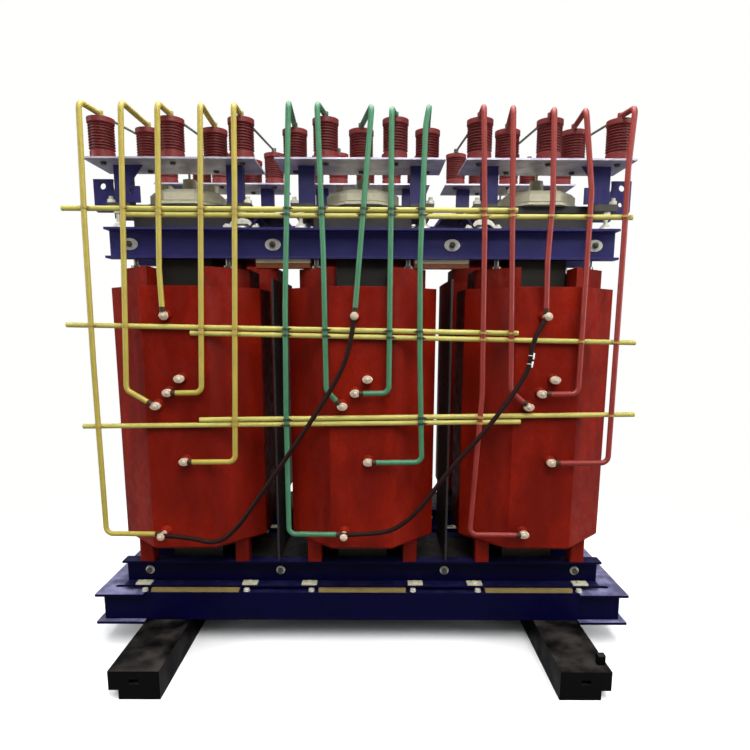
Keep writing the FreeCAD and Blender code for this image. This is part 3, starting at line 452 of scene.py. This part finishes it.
class MeshBatch:
    """Collects many small turned or cut pieces into one mesh."""

    def __init__(self, name: str) -> None:
        """Start an empty mesh under the piece's name."""
        self.name = name
        self.mesh = bmesh.new()

    def turned(self, profile: Profile, place: Matrix, sides: int = 32) -> None:
        """Add a turned piece.

        Args:
            profile: Radius and height pairs, from end to end; a zero radius closes an end.
            place: Where the piece's own z axis and origin go.
            sides: Segments round the piece; six gives a nut.
        """
        rings = []
        for radius, height in profile:
            if radius == 0:
                rings.append([self.mesh.verts.new(place @ Vector((0, 0, height)))])
                continue
            angles = [2 * math.pi * i / sides for i in range(sides)]
            corners = [Vector((radius * math.cos(a), radius * math.sin(a), height)) for a in angles]
            rings.append([self.mesh.verts.new(place @ corner) for corner in corners])
        for low, high in zip(rings, rings[1:]):
            for i in range(sides):
                j = (i + 1) % sides
                face = [low[i % len(low)], low[j % len(low)], high[j % len(high)], high[i % len(high)]]
                unique = list(dict.fromkeys(face))
                if len(unique) > 2:
                    self.mesh.faces.new(unique)

    def block(self, size: Triple, place: Matrix, edge: float) -> None:
        """Add a block with chamfered edges.

        Args:
            size: Full size along the block's own axes.
            place: Where its centre goes.
            edge: Chamfer size.
        """
        made = bmesh.ops.create_cube(self.mesh, size=1.0)
        bmesh.ops.scale(self.mesh, vec=size, verts=made["verts"])
        edges = list(dict.fromkeys(e for v in made["verts"] for e in v.link_edges))
        cut = bmesh.ops.bevel(self.mesh, geom=edges, offset=edge, segments=2, affect="EDGES", profile=0.5)
        verts = list(dict.fromkeys(v for f in cut["faces"] for v in f.verts))
        bmesh.ops.transform(self.mesh, matrix=place, verts=verts)

    def sheet(self, outline: Profile, depth: float, place: Matrix) -> None:
        """Add a plate cut to an outline.

        Args:
            outline: Corners in the plate's own plane.
            depth: Thickness, along the plate's own z axis.
            place: Where its origin and axes go.
        """
        front = [self.mesh.verts.new(place @ Vector((x, y, 0))) for x, y in outline]
        back = [self.mesh.verts.new(place @ Vector((x, y, depth))) for x, y in outline]
        self.mesh.faces.new(front)
        self.mesh.faces.new(list(reversed(back)))
        for i in range(len(outline)):
            j = (i + 1) % len(outline)
            self.mesh.faces.new([front[j], front[i], back[i], back[j]])

    def finish(self, material: bpy.types.Material, slot: str,
               replaced: tuple[str, ...] = ()) -> bpy.types.Object:
        """Turn the batch into an object on the root body.

        Args:
            material: Its material.
            slot: The record's slot for the piece; not used.
            replaced: CAD nodes that it stands for.

        Returns:
            The new object.
        """
        data = bpy.data.meshes.new(self.name)
        bmesh.ops.recalc_face_normals(self.mesh, faces=self.mesh.faces)
        self.mesh.to_mesh(data)
        self.mesh.free()
        data.shade_smooth()
        data.set_sharp_from_angle(angle=math.radians(32))
        data.materials.append(material)
        piece = add_object(self.name, data)
        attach(piece, BODY)
        if replaced:
            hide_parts(*replaced)
        return piece


def facing_front(x: float, y: float, z: float) -> Matrix:
    """Place at a point, its own z axis towards the viewer."""
    return Matrix.Translation((x, y, z)) @ Matrix.Rotation(math.radians(90), 4, "X")


# Sides of a nut or a bolt head
HEX = 6
TURNED_OVER = Matrix.Rotation(math.pi, 4, "X")


def raised(height: float) -> Matrix:
    """Shift along a piece's own z axis."""
    return Matrix.Translation((0, 0, height))


def spun(angle: float) -> Matrix:
    """Turn about a piece's own z axis, in radians."""
    return Matrix.Rotation(angle, 4, "Z")


def hex_nut(radius: float, height: float) -> Profile:
    """Profile of a chamfered nut or bolt head, its radius taken over the corners."""
    soft = radius * 0.1
    return [(0, 0), (radius - soft, 0), (radius, soft), (radius, height - soft), (radius - soft, height),
            (0, height)]


def solids_of(node: bpy.types.Object) -> list[tuple[Vector, Vector]]:
    """Find the box of each separate solid in a CAD node.

    Args:
        node: The CAD node's object.

    Returns:
        Lowest and highest corner of each solid, left to right.
    """
    points = [tuple(round(c, 5) for c in v.co) for v in node.data.vertices]
    solid_of = {p: {p} for p in points}
    for polygon in node.data.polygons:
        for index in polygon.vertices[1:]:
            pair = solid_of[points[polygon.vertices[0]]], solid_of[points[index]]
            small, large = sorted(pair, key=len)
            if small is not large:
                large |= small
                solid_of.update(dict.fromkeys(small, large))
    solids = {id(solid): solid for solid in solid_of.values()}.values()
    boxes = [(Vector(map(min, zip(*solid))), Vector(map(max, zip(*solid)))) for solid in solids]
    return sorted(boxes, key=lambda corners: tuple(corners[0]))


def ring(outer: float, inner: float, height: float) -> Profile:
    """Profile of a washer with softened outer edges, as a closed section."""
    soft = height * 0.25
    return [(inner, 0), (outer - soft, 0), (outer, soft), (outer, height - soft), (outer - soft, height),
            (inner, height), (inner, 0)]


def thread(radius: float, start: float, length: float) -> Profile:
    """Profile of a threaded stud end, one groove to each pitch.

    Args:
        radius: Over the crests.
        start: Height where it starts.
        length: How long it is.

    Returns:
        Radius and height pairs.
    """
    pitch = radius * 0.28
    turns = max(2, round(length / pitch))
    step = length / turns
    profile = []
    for i in range(turns):
        profile += [(radius * 0.88, start + i * step), (radius, start + (i + 0.5) * step)]
    return profile + [(radius * 0.86, start + length), (0, start + length + radius * 0.1)]


@dataclass
class Fittings:
    """Small pieces that detail the construction.

    Sizes are in metres. A ring or washer is given as outer radius, inner radius and height, and a nut or
    bolt head as its radius over the corners and its height. A spin, in radians to a metre, turns nuts by
    their place, so that neighbours in a row differ.
    """

    nodes: dict[str, bpy.types.Object]
    materials: dict[str, bpy.types.Material]


@dataclass
class ClampBolts(Fittings):
    """Plate washers, nuts and stud ends on the clamp webs, in place of the plain ones."""

    washer_height: float = 0.0045
    bore_share: float = 0.42
    spring_ring: Triple = (0.0142, 0.008, 0.0022)
    ring_at: float = 0.0044
    nut: Pair = (0.0118, 0.0095)
    nut_at: float = 0.0066
    stud: Pair = (0.0058, 0.0205)
    spin: float = 4.0

    def build(self) -> None:
        """Build one stack of washer, spring ring and nut for each bolt."""
        washers = MeshBatch("clamp_bolt_washers")
        nuts = MeshBatch("clamp_bolt_nuts")
        for low, high in solids_of(self.nodes["clamp_bolts"]):
            middle = (low + high) / 2
            at_back = middle.y > (FRONT_ROW_Y if middle.y < 0 else -FRONT_ROW_Y)
            half_wide, half_high = (high.x - low.x) / 2, (high.z - low.z) / 2
            place = facing_front(middle.x, low.y if at_back else high.y, middle.z)
            if at_back:
                place = place @ TURNED_OVER
            oval = Matrix.Diagonal((half_wide / half_high, 1, 1, 1))
            washers.turned(ring(half_high, half_high * self.bore_share, self.washer_height), place @ oval, 48)
            washers.turned(ring(*self.spring_ring), place @ raised(self.ring_at))
            nuts.turned(hex_nut(*self.nut), place @ raised(self.nut_at) @ spun(middle.x * self.spin), HEX)
            nuts.turned(thread(self.stud[0], 0.0, self.stud[1]), place, 20)
        washers.finish(self.materials["zinc"], "zinc", ("clamp_bolts",))
        # The nuts and stud ends take the darker steel: painted shade in the middle of each washer
        nuts.finish(self.materials["steel"], "steel")


@dataclass
class InsulatorFittings(Fittings):
    """Nuts and washers on the caps of the insulators, and bolt heads under their plates."""

    under_plate: float = 0.006
    cap_washer: Triple = (0.020, 0.0101, 0.0018)
    bolt_washer: Triple = (0.012, 0.005, 0.0018)
    bolt_head: Pair = (0.0095, 0.0064)
    spin: float = 9.0

    def build(self) -> None:
        """Build the fittings of both rows."""
        caps = MeshBatch("insulator_caps")
        bolts = MeshBatch("insulator_plate_bolts")
        _, bore, seat = self.cap_washer
        nut = [(bore, seat), (0.0158, seat), (0.0165, 0.0026), (0.0165, 0.0048), (0.0158, 0.0056),
               (bore, 0.0056)]
        for row in ("front", "rear"):
            for low, high in solids_of(self.nodes["insulators_" + row]):
                x, y = (low.x + high.x) / 2, (low.y + high.y) / 2
                top = Matrix.Translation((x, y, high.z))
                caps.turned(ring(*self.cap_washer), top, 36)
                caps.turned(nut, top @ spun(x * self.spin), HEX)
                under = Matrix.Translation((x, y, low.z - self.under_plate)) @ TURNED_OVER
                bolts.turned(ring(*self.bolt_washer), under, 28)
                bolts.turned(hex_nut(*self.bolt_head), under @ raised(self.bolt_washer[2]), HEX)
        caps.finish(self.materials["zinc"], "zinc")
        bolts.finish(self.materials["steel"], "steel")


@dataclass
class FrameStuds(Fittings):
    """Studs between clamps and end bars with cone washers and nuts, in place of the plain ones."""

    radius: float = 0.008
    long_from: float = 0.04
    thread_from: float = 0.02
    tip: float = 0.001
    nut: Pair = (0.0148, 0.0118)
    nut_below: float = 0.012
    short_washer_radius: float = 0.0149
    short_washer_height: float = 0.002
    short_nut: Pair = (0.0145, 0.0105)
    spins: Pair = (7.0, 5.0)

    def build(self) -> None:
        """Build long studs with their cone and nut, and short ones with a nut on the bars."""
        batch = MeshBatch("stud_stacks")
        r, start, seat = self.radius, self.thread_from, self.short_washer_height
        cone = [(0, 0), (0.0245, 0), (0.0250, 0.001), (0.0245, 0.003), (0.0205, 0.0045), (0.0205, 0.0065),
                (0.013, 0.0155), (0.012, 0.016), (r, 0.016)]
        for low, high in solids_of(self.nodes["frame_studs"]):
            x, y = (low.x + high.x) / 2, (low.y + high.y) / 2
            base = Matrix.Translation((x, y, low.z))
            long = high.z - low.z
            if long > self.long_from:
                batch.turned(cone, base, 40)
                shaft = [(r, 0.0155), (r, start)] + thread(r, start, long - (start + self.tip))
                batch.turned(shaft, base, 24)
                nut_place = base @ raised(long - self.nut_below) @ spun(x * self.spins[0])
                batch.turned(hex_nut(*self.nut), nut_place, HEX)
            else:
                batch.turned(ring(self.short_washer_radius, r, seat), base, 36)
                nut_place = base @ raised(seat) @ spun(x * self.spins[1])
                batch.turned(hex_nut(*self.short_nut), nut_place, HEX)
                batch.turned(thread(r, 0.0, long - self.tip), base, 24)
        batch.finish(self.materials["zinc"], "zinc", ("frame_studs",))


@dataclass
class LeadCollars(Fittings):
    """Dark shrunk collars where the sleeves of the leads end at their terminals."""

    start: float = 0.0130
    length: float = 0.0155
    radius: float = 0.0099
    soft: float = 0.0008
    bore: float = 0.004
    lip: float = 0.0088

    def build(self) -> None:
        """Build a collar at every lead end, along the last run of its lead."""
        batch = MeshBatch("lead_collars")
        r, soft, end = self.radius, self.soft, self.length
        collar = [(self.bore, 0), (r - soft, 0), (r, soft), (r, end - soft), (r - soft, end), (self.lip, end)]
        for phase, runs in zip(PHASES, LAST_RUNS):
            for number, (dx, dz) in runs.items():
                x, z = TERMINALS[number]
                way = Vector((dx, 0, dz)).normalized()
                start = Vector((phase + x, FRONT_ROW_Y + LEAD_Y, z)) + way * self.start
                place = Matrix.Translation(start) @ way.to_track_quat("Z", "Y").to_matrix().to_4x4()
                batch.turned(collar, place, 28)
        batch.finish(self.materials["collar_sleeve"], "tie_nylon")


@dataclass
class JumperTies(Fittings):
    """White ties on the right jumper: a thin band each, and a slender head along the cable."""

    band_wall: float = 0.0010
    band_wide: float = 0.0018
    bite: float = 0.0002
    head: Triple = (0.0064, 0.0044, 0.0200)
    head_edge: float = 0.0007
    head_off: float = 0.0010
    head_aside: float = 0.8
    head_forward: float = 0.6

    def build(self) -> bpy.types.Object:
        """Build both ties where the plain ones of the construction sit.

        Returns:
            The ties as one object.
        """
        batch = MeshBatch("jumper_tie_heads")
        middles = [(low + high) / 2 for low, high in solids_of(self.nodes["jumper_ties"])]
        way = (middles[-1] - middles[0]).normalized()
        inner = JUMPER_DIAMETER / 2 - self.bite
        for middle in middles:
            place = Matrix.Translation(middle) @ way.to_track_quat("Z", "Y").to_matrix().to_4x4()
            band = ring(inner + self.band_wall, inner, self.band_wide)
            batch.turned(band, place @ raised(-self.band_wide / 2))
            aside = way.cross(Vector((0, 1, 0))).normalized()
            aside = (aside if aside.x > 0 else -aside) * self.head_aside + Vector((0, -self.head_forward, 0))
            sink = Matrix.Translation(aside * (JUMPER_DIAMETER / 2 + self.head_off))
            batch.block(self.head, sink @ place, self.head_edge)
        return batch.finish(self.materials["white_nylon"], "white_nylon", ("jumper_ties",))


@dataclass
class StripBolts(Fittings):
    """Low hexagon bolts on the long beams, one beyond each end of the outermost strips."""

    beyond: float = 0.028
    inset: float = 0.013
    washer: Triple = (0.0125, 0.004, 0.002)
    head: Pair = (0.0112, 0.0085)
    spin: float = 9.0

    def build(self) -> None:
        """Build the bolts with their washers, standing on the flange the strips lie on."""
        batch = MeshBatch("strip_bolts")
        strips = solids_of(self.nodes["base_strips"])
        front = min(low.y for low, high in strips) + self.inset
        back = max(high.y for low, high in strips) - self.inset
        for y in (front, back):
            for low, high in strips:
                if not low.y < y < high.y:
                    continue
                for x in (low.x - self.beyond, high.x + self.beyond):
                    base = Matrix.Translation((x, y, low.z)) @ spun(x * self.spin)
                    batch.turned(ring(*self.washer), base)
                    batch.turned(hex_nut(*self.head), base @ raised(self.washer[2]), HEX)
        batch.finish(self.materials["zinc"], "zinc")


@dataclass
class StudBridges(Fittings):
    """Arched clamp plates over the inner studs of the outer phases, where the leads come close."""

    stud_x: float = 0.423
    front_y: float = FRONT_ROW_Y - 0.158
    base_z: float = 1.557
    deep: float = 0.024
    bolt_x: float = 0.052
    foot_height: float = 0.007
    bolt: Pair = (0.0078, 0.006)
    spin: float = 9.0

    def build(self) -> None:
        """Build the two arches with a small bolt in each foot."""
        foot = self.foot_height
        arch = [(-0.062, 0.0), (-0.036, 0.0), (-0.024, 0.012), (0.024, 0.012), (0.036, 0.0), (0.062, 0.0),
                (0.062, foot), (0.042, 0.009), (0.029, 0.024), (0.018, 0.029), (-0.018, 0.029),
                (-0.029, 0.024), (-0.042, 0.009), (-0.062, foot)]
        batch = MeshBatch("stud_bridges")
        for x in (-self.stud_x, self.stud_x):
            batch.sheet(arch, -self.deep, facing_front(x, self.front_y, self.base_z))
            for side in (-self.bolt_x, self.bolt_x):
                place = Matrix.Translation((x + side, self.front_y + self.deep / 2, self.base_z + foot))
                batch.turned(hex_nut(*self.bolt), place @ spun(side * self.spin), HEX)
        batch.finish(self.materials["zinc"], "zinc")


@dataclass
class CableTies(Fittings):
    """Ties that bind the leads to the rails, dark on the middle phase and yellowed on the others.

    Each head leans by up to two steps to either side; a step is in degrees.
    """

    head: Triple = (0.0055, 0.0085, 0.0075)
    head_edge: float = 0.0008
    head_beside: float = 0.0125
    head_behind: float = 0.009
    tail: Triple = (0.0070, 0.0012, 0.0036)
    tail_edge: float = 0.0004
    tail_beside: float = 0.0055
    tail_before: float = 0.003
    lean_step: float = 8.0

    def build(self) -> None:
        """Build heads and short tails beside the bands, and give the outer bands their own finish."""
        dark = MeshBatch("tie_heads_dark")
        aged = MeshBatch("tie_heads_aged")
        for number, (low, high) in enumerate(solids_of(self.nodes["cable_ties"])):
            x = (low.x + high.x) / 2
            batch = dark if abs(x) < PHASES[2] / 2 else aged
            side = 1 if number % 3 else -1
            lean = Matrix.Rotation(math.radians(self.lean_step * (number * 7 % 5 - 2)), 4, "Y")
            beside = (x + side * self.head_beside, low.y + self.head_behind, (low.z + high.z) / 2)
            place = Matrix.Translation(beside) @ lean
            batch.block(self.head, place, self.head_edge)
            tail = place @ Matrix.Translation((side * self.tail_beside, -self.tail_before, 0))
            batch.block(self.tail, tail, self.tail_edge)
        dark.finish(self.materials["tie_nylon"], "tie_nylon")
        aged.finish(self.materials["aged_nylon"], "tie_nylon")
        bands = self.nodes["cable_ties"].data
        bands.materials.append(self.materials["aged_nylon"])
        for face in bands.polygons:
            face.material_index = 0 if abs(face.center.x) < PHASES[2] / 2 else 1


@dataclass
class CableLugs(Fittings):
    """Tinned lugs that hold the jumper cables against the terminals, in place of the plain blocks.

    The cable leaves an upper lug downwards and a lower one sideways.
    """

    upper_from: float = 0.8
    palm: Triple = (0.018, 0.003, 0.018)
    palm_edge: float = 0.001
    band: Triple = (0.0105, 0.0082, 0.014)
    band_back: float = 0.001
    cap_radius: float = 0.0135
    cap_height: float = 0.0028
    hex_share: float = 0.86
    hex_height: float = 0.0075

    def build(self) -> None:
        """Build a palm, a clamp band round the cable and a hexagonal cap in front of it for each lug."""
        batch = MeshBatch("jumper_lugs")
        r, rim = self.cap_radius, self.cap_height
        disc = [(0, 0), (r * 0.95, 0), (r, 0.0006), (r, 0.0022), (r * 0.95, rim), (0, rim)]
        for low, high in solids_of(self.nodes["cable_lugs"]):
            x, y, z = (low + high) / 2
            palm = Matrix.Translation((x, high.y - self.palm[1] / 2, z))
            batch.block(self.palm, palm, self.palm_edge)
            along = Matrix.Rotation(0 if z > self.upper_from else math.radians(90), 4, "Y")
            hoop = Matrix.Translation((x, y + self.band_back, z)) @ along
            batch.turned(ring(*self.band), hoop @ raised(-self.band[2] / 2), 36)
            cap = facing_front(x, y - JUMPER_DIAMETER / 2, z)
            batch.turned(disc, cap, 36)
            batch.turned(hex_nut(r * self.hex_share, self.hex_height), cap @ raised(rim), HEX)
            batch.turned([(0.0058, 0.0103), (0.0058, 0.0125), (0.0048, 0.0135), (0, 0.0135)], cap, 20)
        batch.finish(self.materials["pink_metal"], "pink_metal", ("cable_lugs",))


@dataclass
class Terminals(Fittings):
    """Bolted terminals on the front flats of the front coils, each on a resin boss.

    The upper one has a hexagonal bolt head; the others are oval pads with a low round head. Where a
    jumper ends there is a plain spacer instead, behind the cable and its cap.
    """

    boss_radius: float = 0.0165
    pad_radius: float = 0.0135
    pad_stretch: float = 1.32
    spacer: float = 0.0095
    washer_radius: float = 0.0155
    head: Pair = (0.0135, 0.011)
    head_at: float = 0.0055

    def build(self) -> None:
        """Build the bosses, and the pads and bolt heads in front of them."""
        bosses = MeshBatch("terminal_bosses")
        heads = MeshBatch("terminal_bolts")
        back = FRONT_ROW_Y + LEAD_Y + HEAD_DEPTH / 2
        depth = FRONT_ROW_Y + COIL_FACE_Y - back
        r = self.boss_radius
        boss = [(r * 1.25, 0), (r * 1.05, depth * 0.2), (r * 0.85, depth * 0.9), (r * 0.8, depth), (0, depth)]
        spacer = [(0, 0), (self.spacer, 0), (self.spacer, HEAD_DEPTH), (0, HEAD_DEPTH)]
        for phase in PHASES:
            for x, z in TERMINALS:
                bosses.turned(boss, facing_front(phase + x, FRONT_ROW_Y + COIL_FACE_Y, z))
                place = facing_front(phase + x, back, z)
                if (phase, (x, z)) in JUMPER_ENDS:
                    heads.turned(spacer, place, 24)
                elif (x, z) == UPPER_TERMINAL:
                    self.bolt(heads, place)
                else:
                    self.pad(heads, place)
        bosses.finish(self.materials["cast_resin"], "cast_resin", ("terminals",))
        heads.finish(self.materials["pink_metal"], "pink_metal")

    def bolt(self, batch: MeshBatch, place: Matrix) -> None:
        """Add a washer, a spring ring, a hexagonal head and a stud end.

        Args:
            batch: Where the pieces go.
            place: Back of the washer, its z axis to the front.
        """
        r, top = self.washer_radius, self.head_at
        batch.turned([(0, 0), (r * 0.95, 0), (r, 0.0006), (r, 0.0024), (r * 0.95, 0.003), (r * 0.8, 0.003),
                      (r * 0.8, top), (0, top)], place)
        batch.turned(hex_nut(*self.head), place @ raised(top), HEX)
        batch.turned([(0.0062, 0.0165), (0.0062, 0.0205), (0.0052, 0.0215), (0, 0.0215)], place, 20)

    def pad(self, batch: MeshBatch, place: Matrix) -> None:
        """Add an oval pad with rounded edges and a low round head in its middle.

        Args:
            batch: Where the pieces go.
            place: Back of the pad, its z axis to the front.
        """
        r = self.pad_radius
        oval = place @ Matrix.Diagonal((self.pad_stretch, 1, 1, 1))
        batch.turned([(0, 0), (r * 0.9, 0), (r, 0.0012), (r, 0.0135), (r * 0.97, 0.0155), (r * 0.88, 0.0168),
                      (r * 0.6, 0.0172), (0, 0.0172)], oval, 40)
        batch.turned([(0.0072, 0.0170), (0.0068, 0.0195), (0.0052, 0.0212), (0.0026, 0.0218), (0, 0.0218)],
                     place, 24)


@dataclass
class Jumper:
    """One black cable from an upper terminal to a lower one. Points repeat the construction's route."""

    name: str
    points_mm: tuple[Triple, ...]
    length: float

    def build(self, materials: dict[str, bpy.types.Material], pieces: list[bpy.types.Object]) -> None:
        """Args:
            materials: Materials by slot.
            pieces: What sits on the cable; not used.
        """
        data = bpy.data.curves.new(self.name + "_cable", "CURVE")
        data.dimensions = "3D"
        data.bevel_depth = JUMPER_DIAMETER / 2
        data.bevel_resolution = 6
        data.resolution_u = 24
        data.use_fill_caps = True
        line = data.splines.new("NURBS")
        line.points.add(len(self.points_mm) - 1)
        for point, (x, y, z) in zip(line.points, self.points_mm):
            point.co = (x * MM, y * MM + FRONT_ROW_Y, z * MM, 1.0)
        line.order_u = 3
        line.use_endpoint_u = True
        data.materials.append(materials["black_rubber"])
        cable = add_object(self.name + "_cable", data)
        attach(cable, BODY)
        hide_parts(self.name)
        x, y, z = self.points_mm[0]


JUMPERS = (
    Jumper("jumper_ab", ((-23, -322, 1262), (-34, -334, 1140), (-104, -340, 1000), (-230, -350, 812),
                         (-352, -344, 636), (-440, -336, 512), (-512, -330, 462), (-602, -326, 486),
                         (-714, -322, 491)), 1.158),
    Jumper("jumper_bc", ((621, -322, 1262), (566, -332, 1180), (562, -338, 1084), (508, -343, 996),
                         (412, -351, 864), (300, -346, 738), (208, -341, 600), (124, -334, 520),
                         (44, -328, 500), (-74, -322, 494)), 1.107),
)


@dataclass(frozen=True)
class Softbox:
    """One square lamp: where it stands and points, its width in metres and its power in watts."""

    name: str
    at: Triple
    target: Triple
    width: float
    power: float


@dataclass
class Studio:
    """Camera, light, floor and background. Angles are in degrees."""

    camera_at: Triple = (0.0416, -2.6664, 1.2262)
    pitch: float = 9.75
    yaw: float = 0.14
    roll: float = -0.21
    lens: float = 28.8
    shift_y: float = 0.0696
    lamps: tuple[Softbox, ...] = (
        Softbox("key_softbox", (0.7, -3.1, 3.7), (0.0, -0.4, 1.1), 2.2, 125),
        Softbox("left_softbox", (-4.4, -1.7, 1.9), (-0.9, -0.5, 0.9), 1.6, 85),
        Softbox("right_softbox", (4.4, -1.7, 1.9), (0.9, -0.5, 0.9), 1.6, 115),
        Softbox("top_softbox", (0.0, -0.4, 4.4), (0.0, 0.0, 1.0), 3.2, 240),
    )

    def place_camera(self) -> None:
        """Put the camera where the photograph was taken from."""
        camera = add_object("camera", bpy.data.cameras.new("camera"))
        camera.data.lens = self.lens
        camera.data.sensor_width = 36.0
        camera.data.shift_y = self.shift_y
        camera.data.clip_end = 100.0
        camera.location = self.camera_at
        tilt = Matrix.Rotation(math.radians(90 - self.pitch), 4, "X")
        turned = Matrix.Rotation(math.radians(-self.yaw), 4, "Z") @ tilt
        turned = turned @ Matrix.Rotation(math.radians(-self.roll), 4, "Z")
        camera.rotation_euler = turned.to_euler()
        bpy.context.scene.camera = camera

    def light(self) -> None:
        """Set the softboxes, and a background that is white to the camera and lights from above."""
        for box in self.lamps:
            data = bpy.data.lights.new(box.name, "AREA")
            data.shape = "SQUARE"
            data.size = box.width
            data.energy = box.power
            lamp = add_object(box.name, data)
            lamp.location = box.at
            lamp.rotation_euler = (Vector(box.target) - Vector(box.at)).to_track_quat("-Z", "Y").to_euler()
        world = bpy.data.worlds.new("studio")
        world.use_nodes = True
        tree = world.node_tree
        tree.nodes.clear()
        rays = add_node(tree, "LightPath")
        facing = add_node(tree, "TexCoord").outputs["Generated"]
        height = add_node(tree, "SeparateXYZ", links={0: facing}).outputs["Z"]
        glow = add_node(tree, "MapRange", SMOOTH,
                        {"From Min": 0.05, "From Max": 0.6, "To Min": 0.06, "To Max": 0.75},
                        {"Value": height})
        soft = add_node(tree, "Background", values={"Color": linear("f4f6fa")},
                        links={"Strength": glow.outputs["Result"]})
        white = add_node(tree, "Background", values={"Color": linear("fffffe"), "Strength": 1.0})
        mixed = add_node(tree, "MixShader",
                         links={0: rays.outputs["Is Camera Ray"], 1: soft.outputs[0], 2: white.outputs[0]})
        add_node(tree, "OutputWorld", links={"Surface": mixed.outputs[0]})
        bpy.context.scene.world = world

    def floor(self) -> None:
        """Lay a pale floor that shows a soft shadow."""
        data = bpy.data.meshes.new("floor")
        made = bmesh.new()
        bmesh.ops.create_grid(made, x_segments=1, y_segments=1, size=30.0)
        made.to_mesh(data)
        made.free()
        floor = add_object("floor", data)
        material = bpy.data.materials.new("studio_floor_painted_white")
        material.use_nodes = True
        tree = material.node_tree
        tree.nodes.clear()
        place = add_node(tree, "NewGeometry").outputs["Position"]
        away = add_node(tree, "VectorMath", {"operation": "LENGTH"}, links={0: place})
        fade = add_node(tree, "MapRange", SMOOTH,
                        {"From Min": 1.3, "From Max": 2.6}, {"Value": away.outputs["Value"]})
        rays = add_node(tree, "LightPath")
        tone = add_node(tree, "MapRange", values={"To Min": 0.22, "To Max": 0.93},
                        links={"Value": rays.outputs["Is Camera Ray"]})
        paint = add_node(tree, "BsdfDiffuse", links={"Color": tone.outputs["Result"]})
        glow = add_node(tree, "Emission", values={"Color": linear("fffffe"), "Strength": 1.0})
        seen = add_node(tree, "Math", {"operation": "MULTIPLY"},
                        links={0: fade.outputs["Result"], 1: rays.outputs["Is Camera Ray"]})
        blend = add_node(tree, "MixShader",
                         links={0: seen.outputs[0], 1: paint.outputs[0], 2: glow.outputs[0]})
        add_node(tree, "OutputMaterial", links={"Surface": blend.outputs[0]})
        data.materials.append(material)


@dataclass
class Reactor:
    """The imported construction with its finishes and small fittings."""

    frame: dict
    materials: dict[str, bpy.types.Material] = field(default_factory=dict)

    def dress(self) -> None:
        """Give every CAD node the material of its slot, or its own one."""
        self.materials.update({finish.slot: MaterialMaker(finish).make() for finish in FINISHES})
        for part in self.frame["record"]["subparts"]:
            own = [slot for start, slot in OWN_FINISH.items() if part["node"].startswith(start)]
            kinds = self.frame["nodes"][part["node"]].data.materials
            kinds.clear()
            kinds.append(self.materials[own[0] if own else part["material_slot"]])

    def build(self) -> None:
        """Add the pieces that stand for CAD nodes or detail them."""
        nodes = self.frame["nodes"]
        ties = JumperTies(nodes, self.materials).build()
        for jumper in JUMPERS:
            jumper.build(self.materials, [ties] if jumper.name == "jumper_bc" else [])
        for assembly in (Terminals, LeadCollars, StudBridges, StripBolts, ClampBolts, InsulatorFittings,
                         FrameStuds, CableTies, CableLugs):
            assembly(nodes, self.materials).build()


def main() -> None:
    """Load the frame, build everything and report each piece with its finishes."""
    logging.basicConfig(level=logging.INFO)
    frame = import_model()
    scene = bpy.context.scene
    scene.view_settings.view_transform = "Standard"
    studio = Studio()
    studio.place_camera()
    reactor = Reactor(frame)
    reactor.dress()
    reactor.build()
    studio.light()
    studio.floor()
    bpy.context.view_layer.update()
    for piece in scene.objects:
        finishes = ", ".join(slot.name for slot in piece.material_slots)
        log.info("%s: %s", piece.name, finishes or piece.type.lower())


if __name__ == "__main__":
    main()
